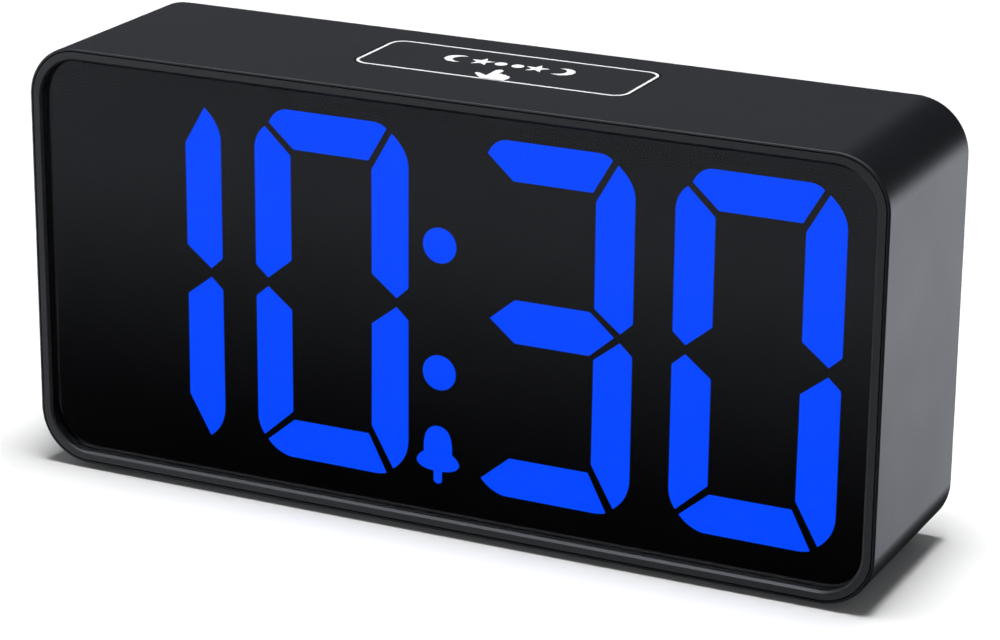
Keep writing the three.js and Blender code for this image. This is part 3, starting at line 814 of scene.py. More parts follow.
@dataclass(frozen=True)
class SolderMask(Finish):
    """A green circuit board, its copper tracks just visible under the mask."""

    name: str
    colour: Colour

    def dress(self, graph: ShaderGraph) -> None:
        """Draw square-cornered tracks and raise them a little."""
        tracks = graph.node(
            "ShaderNodeTexVoronoi",
            {"distance": "MANHATTAN", "feature": "F2"},
            {"Vector": graph.place, "Scale": 1 / (5 * MM), "Randomness": 0.8},
        )
        bands = Value(graph, tracks.outputs["Distance"])
        wave = graph.node("ShaderNodeMath", {"operation": "PINGPONG"}, {0: bands, 1: 0.13})
        line = Value(graph, wave.outputs[0]).ramp(0.045, 0.075)
        weave = graph.noise(0.4 * MM, detail=1)
        graph.set(
            Base_Color=graph.mix(line, shade(self.colour, 0.7), shade(self.colour, 1.5)),
            Roughness=0.34 + 0.1 * weave,
            Normal=graph.bump(line * 0.8 + weave * 0.2, 0.03 * MM),
        )


@dataclass(frozen=True)
class PressedPaper(Finish):
    """The fibrous paper of a small loudspeaker cone."""

    name: str
    colour: Colour

    def dress(self, graph: ShaderGraph) -> None:
        """Fibres in colour and relief."""
        fibres = graph.noise(0.5 * MM, detail=5, stretch=(1, 3, 1), roughness=0.7)
        graph.set(
            Base_Color=graph.mix(fibres, shade(self.colour, 0.6), shade(self.colour, 1.5)),
            Roughness=0.85 + 0.1 * (fibres - 0.5),
            Normal=graph.bump(fibres, 0.05 * MM),
        )


@dataclass(frozen=True)
class CellWrap(Finish):
    """The printed metallic wrap of a dry cell, with a copper band at one end."""

    name: str
    colour: Colour
    band: Colour
    band_start: float
    band_side: int

    def dress(self, graph: ShaderGraph) -> None:
        """Split the wrap into its body and its band."""
        across = graph.along(Axis.X) * float(self.band_side)
        in_band = across > self.band_start
        rub = graph.noise(1.5 * MM, detail=4)
        graph.set(
            Base_Color=graph.mix(in_band, graph.mix(rub, shade(self.colour, 0.8), self.colour), self.band),
            Roughness=0.3 + 0.15 * rub,
            Metallic=0.75,
            Normal=graph.bump(rub, 0.01 * MM),
        )


@dataclass(frozen=True)
class PaleFloor(Finish):
    """The studio's plain matt floor."""

    name: str
    colour: Colour

    def dress(self, graph: ShaderGraph) -> None:
        """A barely visible mottle."""
        cloud = graph.noise(60 * MM, detail=2)
        graph.set(
            Base_Color=graph.mix(cloud, shade(self.colour, 0.985), self.colour),
            Roughness=0.9,
            Specular_IOR_Level=0.1,
        )


CASE = MouldedPlastic("case_plastic", (0.0080, 0.0084, 0.0100), roughness=0.36)
RIM = MouldedPlastic("rim_plastic", (0.0130, 0.0134, 0.0145), roughness=0.40, grain_depth=0.006 * MM)
BACK = MouldedPlastic("back_plastic", (0.0095, 0.0096, 0.0105), roughness=0.5, grain_depth=0.02 * MM)
KEYS = MouldedPlastic("key_plastic", (0.0140, 0.0142, 0.0152), roughness=0.48)
WINDOW = SmokedWindow("smoked_acrylic", (0.62, 0.62, 0.63), ior=1.12)
MASK = MouldedPlastic(
    "black_print", (0.0005, 0.0005, 0.0006), roughness=0.08, grain_depth=0.0002 * MM, specular=0.8
)
LIT = LitDiffuser("lit_blue", (0.0, 0.058, 1.0), strength=1.75)
WHITE_INK = PrintedInk("white_ink", (0.80, 0.81, 0.82))
GREY_INK = PrintedInk("grey_ink", (0.32, 0.32, 0.33))
RUBBER = SoftRubber("foot_rubber", (0.008, 0.008, 0.008))
NICKEL = PlatedMetal("nickel_plate", (0.62, 0.61, 0.58))
ZINC = PlatedMetal("zinc_plate", (0.34, 0.34, 0.36), roughness=0.36, lines=(3, 1, 3))
GOLD = PlatedMetal("gold_contact", (0.72, 0.50, 0.20), roughness=0.25)
BOARD = SolderMask("solder_mask", (0.010, 0.085, 0.030))
RESIN = MouldedPlastic("black_resin", (0.010, 0.010, 0.011), roughness=0.5, grain=0.2 * MM)
IVORY = MouldedPlastic("ivory_nylon", (0.55, 0.53, 0.47), roughness=0.45, mottle=0.04)
REFLECTOR = MouldedPlastic("white_reflector", (0.76, 0.76, 0.74), roughness=0.55, mottle=0.03)
FILM = MouldedPlastic("cable_film", (0.62, 0.63, 0.64), roughness=0.4, mottle=0.05)
PAPER = PressedPaper("cone_paper", (0.028, 0.026, 0.024))
FLOOR = PaleFloor("studio_floor", (0.86, 0.86, 0.86))


# ---------------------------------------------------------------- putting pieces in the clock


def place(
    solid: Solid, name: str, finish: Finish, slot: str, body: str = "clock", stands_for: Sequence[str] = ()
) -> bpy.types.Object:
    """Turn a finished solid into a named piece of the clock.

    Args:
        solid: the solid, in its place.
        name: the piece's name.
        finish: what it is finished in.
        slot: a material slot's name; not used.
        body: the moving body that it rides on.
        stands_for: the engineering nodes that it is shown in place of.

    Returns:
        The piece.
    """
    piece = solid.shaded().body
    piece.name = name
    piece.data.name = name
    piece.data.materials.clear()
    piece.data.materials.append(finish.material())
    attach(piece, body)
    if stands_for:
        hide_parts(*stands_for)
    log.info("%s: %d faces, %s, on %s", name, len(piece.data.polygons), finish.name, body)
    return piece


def dress_nodes(finish: Finish, *nodes: str) -> None:
    """Give engineering nodes that stay in view their finish.

    Args:
        finish: what they are finished in.
        nodes: the nodes' names.
    """
    for node in nodes:
        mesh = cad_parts[node].data
        mesh.materials.clear()
        mesh.materials.append(finish.material())
        log.info("%s: kept, %s", node, finish.name)


def arc(centre: tuple[float, float], radius: float, start: float, end: float, steps: int) -> Outline:
    """Points along an arc.

    Args:
        centre: the arc's centre.
        radius: its radius.
        start: its first angle, in degrees.
        end: its last angle, in degrees.
        steps: how many straight steps it takes.

    Returns:
        The points, both ends included.
    """
    angles = [math.radians(start + (end - start) * i / steps) for i in range(steps + 1)]
    return [(centre[0] + radius * math.cos(a), centre[1] + radius * math.sin(a)) for a in angles]


def rounded(
    centre: tuple[float, float], width: float, height: float, radius: float, steps: int = 10
) -> Outline:
    """The outline of a rectangle with rounded corners.

    Args:
        centre: its middle.
        width: its width.
        height: its height.
        radius: its corner radius.
        steps: straight steps in each corner.

    Returns:
        The outline.
    """
    across, up = width / 2 - radius, height / 2 - radius
    corners = [(across, up, 0), (-across, up, 90), (-across, -up, 180), (across, -up, 270)]
    return [
        point
        for x, y, start in corners
        for point in arc((centre[0] + x, centre[1] + y), radius, start, start + 90, steps)
    ]


def curved(
    points: Sequence[Sequence[float]], centre: tuple[float, float], scale: float, steps: int = 8
) -> Outline:
    """An outline with some curved sides.

    Args:
        points: each is a place; with two more values it ends a curve that bends towards that control point.
        centre: where the outline's own origin goes.
        scale: the factor from the points' unit to metres.
        steps: straight steps in each curve.

    Returns:
        The outline.
    """
    shape: Outline = []
    for i, (x, y, *control) in enumerate(points):
        if control:
            start = Vector(points[i - 1][:2])
            bend, end = Vector(control), Vector((x, y))
            for step in range(1, steps + 1):
                t = step / steps
                shape.append(tuple(start * (1 - t) ** 2 + bend * (2 * t * (1 - t)) + end * t * t))
        else:
            shape.append((x, y))
    if (Vector(shape[-1]) - Vector(shape[0])).length < 1e-6:
        shape.pop()
    return [(centre[0] + x * scale, centre[1] + y * scale) for x, y in shape]


def stroke(start: tuple[float, float], end: tuple[float, float], width: float) -> Outline:
    """The outline of a straight stroke with round ends.

    Args:
        start: the middle of one end.
        end: the middle of the other end.
        width: the stroke's width.

    Returns:
        The outline.
    """
    run = math.degrees(math.atan2(end[1] - start[1], end[0] - start[0]))
    return arc(end, width / 2, run - 90, run + 90, 6) + arc(start, width / 2, run + 90, run + 270, 6)


# ---------------------------------------------------------------- the case


@dataclass
class Case:
    """The sleeve, the front rim, the feet and the screws."""

    corner: float = 9.5 * MM
    wall: float = 2 * MM
    rim_width: float = 2.25 * MM
    rim_inset: float = 0.65 * MM
    rim_thickness: float = 1.2 * MM
    rim_chamfer: float = 0.4 * MM
    lip: float = 0.45 * MM
    lip_rounding: float = 0.4 * MM
    tongue_inset: float = 1.4 * MM
    tongue_length: float = 4.4 * MM
    rebate_inset: float = 1.2 * MM
    ledge_inset: float = 5 * MM
    ledge_thickness: float = 1.2 * MM
    corner_steps: int = 20
    post_radius: float = 3.2 * MM
    web: float = 1.4 * MM
    foot_gap: float = 0.2 * MM
    screw_head: float = 2.6 * MM
    whole: Box = field(default_factory=lambda: Box.of("housing_sleeve"))

    def shell(self, inset: float, near: float, far: float) -> Solid:
        """Make a block with the case's outline.

        Args:
            inset: how far it lies inside the case's outline.
            near: its front plane.
            far: its back plane.

        Returns:
            The block.
        """
        box = self.whole.grown(x=-inset, z=-inset).between(Axis.Y, near, far)
        return Solid.block(box).round_edges(Axis.Y, self.corner - inset, self.corner_steps)

    def build_sleeve(self) -> None:
        """Model the sleeve, with its snooze opening, posts and screw holes."""
        box = Box.of("housing_sleeve")
        near, far = box.low.y, box.high.y
        seat = near + self.rim_thickness
        sleeve = self.shell(0, near, far)
        sleeve.round_end(Axis.Y, -1, self.lip_rounding, 6)
        sleeve.round_end(Axis.Y, 1, 0.2 * MM, 3)
        sleeve.cut(self.shell(self.wall, near - MM, far + MM))
        sleeve.cut(self.shell(self.rebate_inset, near - MM, seat + self.tongue_length + 0.4 * MM))
        key = Box.of("snooze_key")
        slit = 2 * SnoozeKey.gap
        opening = Box.around(key.middle, (SnoozeKey.width + slit, SnoozeKey.length + slit, 0))
        opening = opening.between(Axis.Z, box.high.z - 2 * self.wall, box.high.z + MM)
        sleeve.cut(Solid.block(opening).round_edges(Axis.Z, SnoozeKey.corner + SnoozeKey.gap, 12))
        foot = Box.of("rubber_foot_1")
        for i in CORNERS:
            middle = Box.of(f"rubber_foot_{i}").middle
            socket = (middle.x, middle.y, box.low.z)
            sleeve.cut(Solid.disc(Axis.Z, socket, foot.size.x / 2 + self.foot_gap, 2 * MM, 40))
        sleeve.soften(0.12 * MM, 2, angle=60)
        sleeve.cut(self.shell(self.lip, near - MM, seat + 0.2 * MM))
        posts = [self._post(f"case_screw_{i}", box) for i in CORNERS]
        sleeve.gather(*posts)
        place(sleeve, "case_sleeve", CASE, "case", stands_for=["housing_sleeve"])

    def _post(self, screw: str, sleeve: Box) -> Solid:
        """Model a hollow screw post inside a corner of the sleeve."""
        middle = Box.of(screw).middle
        far = Box.of("rear_cover").high.y - 2.1 * MM
        near = 2 * MM
        centre = (middle.x, (near + far) / 2, middle.z)
        post = Solid.disc(Axis.Y, centre, self.post_radius, far - near, 32)
        side = math.copysign(sleeve.high.x - self.wall - 0.05 * MM, middle.x)
        web_at = ((middle.x + side) / 2, centre[1], middle.z)
        web = Box.around(web_at, (abs(side - middle.x), far - near, self.web))
        post.add(Solid.block(web))
        return post.cut(Solid.disc(Axis.Y, centre, 1.4 * MM, far - near + MM, 24))

    def build_rim(self) -> None:
        """Model the front rim, its tongue inside the sleeve and the ledge behind the window."""
        near = Box.of("front_bezel").low.y
        seat = near + self.rim_thickness
        pane = Box.of("display_lens")
        ledge = pane.high.y + 0.1 * MM
        end = seat + self.tongue_length
        rim = self.shell(self.rim_inset, near, seat)
        rim.round_end(Axis.Y, -1, 0.08 * MM, 2)
        rim.add(self.shell(self.tongue_inset, seat - 0.1 * MM, end))
        funnel = self.shell(self.rim_width, near - MM, ledge)
        reach = self.rim_chamfer
        funnel.add(self._tapered(self.rim_width - 2 * reach, self.rim_width, near - reach, near + reach))
        rim.cut(funnel)
        rim.cut(self.shell(self.ledge_inset, near - MM, end + MM))
        rim.cut(self.shell(self.rim_width, ledge + self.ledge_thickness, end + MM))
        place(rim, "front_rim", RIM, "bezel", stands_for=["front_bezel"])

    def _tapered(self, front: float, back: float, near: float, far: float) -> Solid:
        """Make a block with the case's outline whose sides slope from one inset to another.

        Args:
            front: the inset at its front plane.
            back: the inset at its back plane.
            near: its front plane.
            far: its back plane.

        Returns:
            The block.
        """
        block = self.shell(front, near, far)
        size = block.body.dimensions
        change = 2 * (front - back)
        with editing(block.body, "FACE") as mesh:
            for face in mesh.faces:
                face.select_set(all(abs(v.co.y - far) < 1e-6 for v in face.verts))
            bpy.ops.transform.resize(
                value=(1 + change / size.x, 1, 1 + change / size.z), center_override=tuple(self.whole.middle)
            )
        return block

    def build_feet(self) -> None:
        """Model the four rubber feet, each a flat pad with a rounded edge and a shallow ring."""
        first = Box.of("rubber_foot_1")
        radius, height = first.size.x / 2, first.size.z
        pad = Solid.disc(Axis.Z, first.middle, radius, height, 64)
        pad.round_end(Axis.Z, -1, 0.35 * MM, 4)
        pad.dish(Axis.Z, -1, 0.5 * MM, 0.15 * MM)
        for i in CORNERS:
            node = f"rubber_foot_{i}"
            copy = pad.copy(Box.of(node).middle - first.middle)
            place(copy, f"foot_pad_{i}", RUBBER, "rubber", stands_for=[node])
        bpy.data.objects.remove(pad.body)

    def build_screws(self) -> None:
        """Model the four cover screws, with domed heads and cross recesses."""
        first = Box.of("case_screw_1")
        face = first.high.y
        centre = Vector((first.middle.x, face - 0.55 * MM, first.middle.z))
        head = Solid.disc(Axis.Y, centre, self.screw_head, 1.1 * MM, 48)
        head.round_end(Axis.Y, 1, 0.45 * MM, 5)
        for size in ((2.9 * MM, 1.4 * MM, 0.62 * MM), (0.62 * MM, 1.4 * MM, 2.9 * MM)):
            head.cut(Solid.block(Box.around((centre.x, face, centre.z), size)))
        shank = Solid.disc(Axis.Y, (centre.x, face - 5.1 * MM, centre.z), 1.2 * MM, 8 * MM, 24)
        head.add(shank.round_end(Axis.Y, -1, 0.5 * MM, 2))
        head.soften(0.06 * MM, 2)
        for i in CORNERS:
            node = f"case_screw_{i}"
            copy = head.copy(Box.of(node).middle - first.middle)
            place(copy, f"cross_screw_{i}", ZINC, "screw", stands_for=[node])
        bpy.data.objects.remove(head.body)

    def build(self) -> None:
        """Build every piece of the case."""
        self.build_sleeve()
        self.build_rim()
        self.build_feet()
        self.build_screws()


# ---------------------------------------------------------------- the display


class Bar(Enum):
    """The bars of a seven-segment digit, each outlined in millimetres from the digit's middle."""

    TOP = (
        (-12.1, 29.1), (-8.6, 31.8, -11, 31.6), (8, 31.8), (10.8, 30.8, 9.8, 31.8),
        (7.3, 24.8), (-7.3, 24.8),
    )
    UPPER_RIGHT = (
        (11.8, 30.1), (7.9, 23.3), (7.9, 4.6), (12.7, 0.8), (15, 2.9), (15, 24.8),
        (11.8, 30.1, 14.8, 27.6),
    )
    LOWER_RIGHT = (
        (12.7, -0.8), (7.9, -4.5), (7.8, -23.4), (12, -30.8), (15, -24.9, 15, -28.6), (15, -2.9),
    )
    BOTTOM = (
        (-7.6, -25), (7.2, -25), (10.7, -31.8), (8.4, -32.2, 9.8, -32.2), (-8.6, -32.1),
        (-13, -29.5, -11.3, -31.6),
    )
    LOWER_LEFT = (
        (-12.6, -0.8), (-15, -2.9), (-15, -24.8), (-13.7, -28.7, -15, -27), (-7.9, -23.5), (-7.9, -4.5),
    )
    UPPER_LEFT = ((-12.9, 28.3), (-15, 24.5, -14.7, 27), (-15, 2.9), (-12.6, 0.8), (-7.9, 4.6), (-7.9, 23.6))
    MIDDLE = ((-11.5, 0), (-6.8, -3.9), (7.1, -3.9), (11.6, 0), (7.1, 3.9), (-6.8, 3.9))


SIDES = (Bar.UPPER_RIGHT, Bar.LOWER_RIGHT)
ZERO = (Bar.TOP, Bar.UPPER_RIGHT, Bar.LOWER_RIGHT, Bar.BOTTOM, Bar.LOWER_LEFT, Bar.UPPER_LEFT)
THREE = (Bar.TOP, Bar.UPPER_RIGHT, Bar.LOWER_RIGHT, Bar.BOTTOM, Bar.MIDDLE)
BELL = (
    (-0.8, 2.3), (-0.8, 0.4), (0.8, 0.4, 0, -0.4), (0.8, 2.3), (4.1, 3.8, 3.6, 2.4), (2.7, 5.6, 3.9, 5),
    (0, 10.6, 3, 10.5), (-2.7, 5.6, -3, 10.5), (-4.1, 3.8, -3.9, 5), (-0.8, 2.3, -3.6, 2.4),
)


@dataclass
class Display:
    """The smoked window, the black print behind it, and the lit and unlit bars."""

    digits: tuple[tuple[float, tuple[Bar, ...]], ...] = (
        (-57.25 * MM, SIDES), (-20.85 * MM, ZERO), (20.8 * MM, THREE), (57.6 * MM, ZERO),
    )
    middle_z: float = 40.73 * MM
    digit_scale: float = 0.99
    dots_x: float = -0.08 * MM
    dot_offset: float = 11.4 * MM
    dot_radius: float = 3.15 * MM
    bell_base: float = 9.0 * MM
    film_gap: float = 0.02 * MM
    film_thickness: float = 0.05 * MM
    sheet_thickness: float = 0.6 * MM
    window: Box = field(default_factory=lambda: Box.of("display_lens"))

    def _bars(self, lit: bool) -> list[Outline]:
        """Outline the bars that are lit, or those that are not."""
        return [
            curved(bar.value, (x, self.middle_z), self.digit_scale * MM)
            for x, shown in self.digits
            for bar in Bar
            if (bar in shown) == lit
        ]

    def _signs(self) -> list[Outline]:
        """Outline the colon's two dots and the bell."""
        heights = (self.middle_z - self.dot_offset, self.middle_z + self.dot_offset)
        dots = [arc((self.dots_x, height), self.dot_radius, 0, 355, 71) for height in heights]
        return [*dots, curved(BELL, (-0.3 * MM, self.bell_base), MM)]

    def build_window(self, case: Case) -> None:
        """Model the window, with a small polished edge.

        Args:
            case: the case that it sits in.
        """
        inset = case.rim_width + 0.1 * MM
        pane = case.shell(inset, self.window.low.y, self.window.high.y)
        place(pane.soften(0.12 * MM, 2), "smoked_window", WINDOW, "lens", stands_for=["display_lens"])

    def build_print(self, case: Case) -> None:
        """Model the black print behind the window, open where the bars are.

        Args:
            case: the case that it sits in.
        """
        near = self.window.high.y + self.film_gap
        far = near + self.film_thickness
        film = case.shell(case.rim_width + 0.3 * MM, near, far)
        windows = self._bars(True) + self._bars(False) + self._signs()
        film.cut(Solid.prism(windows, Axis.Y, near - MM, far + MM))
        place(film, "black_print_film", MASK, "lens")

    def build_bars(self) -> None:
        """Model the bars that shine and the bars that do not, flush with the print."""
        near = self.window.high.y + self.film_gap
        far = Box.of("segment_diffuser").high.y - self.sheet_thickness
        lit = Solid.prism(self._bars(True) + self._signs(), Axis.Y, near, far)
        glow = place(lit, "lit_bars", LIT, "diffuser", stands_for=["segment_diffuser"])
        glow.visible_diffuse = False
        glow.visible_glossy = False
        place(Solid.prism(self._bars(False), Axis.Y, near, far), "unlit_bars", MASK, "diffuser")

    def build_backing(self) -> None:
        """Model the frosted sheet that carries the bars, and finish what lies behind it."""
        sheet = Box.of("segment_diffuser")
        backing = Solid.block(sheet.between(Axis.Y, sheet.high.y - self.sheet_thickness, sheet.high.y))
        backing.round_edges(Axis.Y, 5.5 * MM, 12).soften(0.1 * MM, 2)
        place(backing, "diffuser_sheet", MASK, "diffuser")
        dress_nodes(REFLECTOR, "display_reflector")
        dress_nodes(BOARD, "display_board")
        dress_nodes(RESIN, "clock_chip", "capacitor")
        dress_nodes(NICKEL, "crystal")
        dress_nodes(FILM, "ribbon_cable")

    def build(self, case: Case) -> None:
        """Build every piece of the display.

        Args:
            case: the case that it sits in.
        """
        self.build_window(case)
        self.build_print(case)
        self.build_bars()
        self.build_backing()


# ---------------------------------------------------------------- the snooze key


HAND = (
    (-0.9, 0), (-3.2, 2.7), (-2.6, 3.3, -3.5, 3.4), (-0.85, 2.2), (-0.85, 5.9), (0.65, 5.9, -0.1, 7.6),
    (0.65, 3.9), (1.6, 3.7, 1.15, 4.7), (2.5, 3.3, 2.1, 4.3), (3.35, 2.6, 3.1, 3.7), (3.4, 1.2, 3.6, 1.9),
    (2.9, 0, 3.2, 0.5),
)


@dataclass
class SnoozeKey:
    """The long key in the top, with its printed outline, pointing hand and row of sleep signs."""

    width: float = 51.8 * MM
    length: float = 17.9 * MM
    corner: float = 3.1 * MM
    gap: float = 0.12 * MM
    sunk: float = 0.05 * MM
    ink: float = 0.04 * MM
    outline_width: float = 51.3 * MM
    outline_length: float = 17.45 * MM
    outline_corner: float = 2.85 * MM
    line: float = 0.52 * MM
    box: Box = field(default_factory=lambda: Box.of("snooze_key"))

    def build_cap(self) -> None:
        """Model the key: cap, flange and the post that meets the switch."""
        top = CAD_BOX[1][2] - self.sunk
        middle = self.box.middle
        under = top - 2.45 * MM
        cap = Solid.block(
            Box.around(middle, (self.width, self.length, 0)).between(Axis.Z, under, top)
        ).round_edges(Axis.Z, self.corner, 12)
        flange_top = CAD_BOX[1][2] - 2.3 * MM
        flange = Solid.block(
            Box.around(middle, (self.width + 3.4 * MM, self.length - 0.4 * MM, 0)).between(
                Axis.Z, flange_top - 1.2 * MM, flange_top
            )
        ).round_edges(Axis.Z, self.corner, 6)
        post_top = flange_top - MM
        post_centre = (middle.x, middle.y, (self.box.low.z + post_top) / 2)
        post = Solid.disc(Axis.Z, post_centre, 2 * MM, post_top - self.box.low.z, 32)
        cap.add(flange, post).soften(0.08 * MM, 3)
        place(cap, "snooze_cap", CASE, "key", "snooze_key", ["snooze_key"])

    def _print(self, outlines: Sequence[Outline], name: str) -> None:
        """Print flat outlines on the top of the key."""
        low = CAD_BOX[1][2] - self.sunk
        place(Solid.prism(outlines, Axis.Z, low, low + self.ink), name, WHITE_INK, "key", "snooze_key")

    def build_print(self) -> None:
        """Print the outline, the pointing hand and the row of sleep signs."""
        middle = (self.box.middle.x, self.box.middle.y)
        inner = 2 * self.line
        self._print(
            [
                rounded(middle, self.outline_width, self.outline_length, self.outline_corner, 12),
                rounded(
                    middle, self.outline_width - inner, self.outline_length - inner,
                    self.outline_corner - self.line, 12,
                ),
            ],
            "snooze_outline",
        )
        front = middle[1] - self.outline_length / 2
        self._print([curved(HAND, (middle[0], front + 0.2 * MM), MM)], "snooze_hand")
        self._print(self._night_row((middle[0] - 0.25 * MM, front + 10.4 * MM)), "snooze_night_row")

    def _night_row(self, middle: tuple[float, float]) -> list[Outline]:
        """Outline a row of sleep signs: a moon, a star and a dot, and the same mirrored."""
        x, y = middle
        shapes = []
        for side in (-1, 1):
            moon_x = x + side * 10 * MM
            facing = 0 if side < 0 else 180
            moon = arc((moon_x, y), 2.25 * MM, facing + 55, facing + 305, 26)
            bite = arc((moon_x - side * 1.15 * MM, y), 1.85 * MM, facing + 278, facing + 82, 20)
            shapes.append(moon + bite)
            star_x = x + side * 5.2 * MM
            turns = ((2.3 if i % 2 == 0 else 0.95, math.pi / 2 + i * math.pi / 5) for i in range(10))
            shapes.append([(star_x + r * MM * math.cos(t), y + r * MM * math.sin(t)) for r, t in turns])
            shapes.append(arc((x + side * 1.6 * MM, y), 1.1 * MM, 0, 350, 35))
        return shapes

    def build(self) -> None:
        """Build every piece of the snooze key."""
        self.build_cap()
        self.build_print()
        dress_nodes(IVORY, "snooze_plunger")
        dress_nodes(RESIN, "snooze_switch")
        dress_nodes(BOARD, "snooze_board")


# ---------------------------------------------------------------- the back


class Symbol(Enum):
    """The wordless signs beside the controls."""

    CLOCK = "clock"
    BELL = "bell"
    MINUS = "minus"
    PLUS = "plus"
    FORMAT = "format"
    SUN = "sun"
    ALARM_OFF = "alarm off"
    POWER = "power"

    def outlines(self, x: float, z: float) -> list[Outline]:
        """Draw the sign about a point.

        Args:
            x: the point's place across the back.
            z: the point's height.

        Returns:
            The sign's outlines.
        """
        ring = [arc((x, z), 1.6 * MM, 0, 350, 35), arc((x, z), 1.25 * MM, 0, 350, 35)]

        def bar(ax: float, az: float, bx: float, bz: float, width: float = 0.4) -> Outline:
            """A stroke between two places given from the sign's middle, in millimetres."""
            return stroke((x + ax * MM, z + az * MM), (x + bx * MM, z + bz * MM), width * MM)

        rays = [
            bar(1.15 * math.cos(t), 1.15 * math.sin(t), 1.6 * math.cos(t), 1.6 * math.sin(t), 0.3)
            for t in (i * math.pi / 4 for i in range(8))
        ]
        signs = {
            Symbol.CLOCK: [*ring, bar(0, 0.05, 0, 0.85, 0.3), bar(0.3, -0.35, 0.62, -0.35, 0.3)],
            Symbol.BELL: [curved(BELL, (x, z - 1.6 * MM), 0.3 * MM)],
            Symbol.MINUS: [bar(-1.1, 0, 1.1, 0)],
            Symbol.PLUS: [curved(PLUS_SIGN, (x, z), MM)],
            Symbol.FORMAT: [*ring, arc((x, z), 0.85 * MM, 90, 270, 18)],
            Symbol.SUN: [arc((x, z), 0.75 * MM, 0, 350, 35), *rays],
            Symbol.ALARM_OFF: ring,
            Symbol.POWER: [
                arc((x, z), 0.5 * MM, 0, 350, 35),
                arc((x, z), 1.5 * MM, -140, 140, 28) + arc((x, z), 1.15 * MM, 140, -140, 28),
            ],
        }
        return signs[self]


PLUS_SIGN = (
    (-0.2, 1.2), (-0.2, 0.2), (-1.2, 0.2), (-1.2, -0.2), (-0.2, -0.2), (-0.2, -1.2),
    (0.2, -1.2), (0.2, -0.2), (1.2, -0.2), (1.2, 0.2), (0.2, 0.2), (0.2, 1.2),
)
KEY_SIGNS = {
    "time_key": Symbol.CLOCK,
    "alarm_key": Symbol.BELL,
    "minus_key": Symbol.MINUS,
    "plus_key": Symbol.PLUS,
    "format_key": Symbol.FORMAT,
}


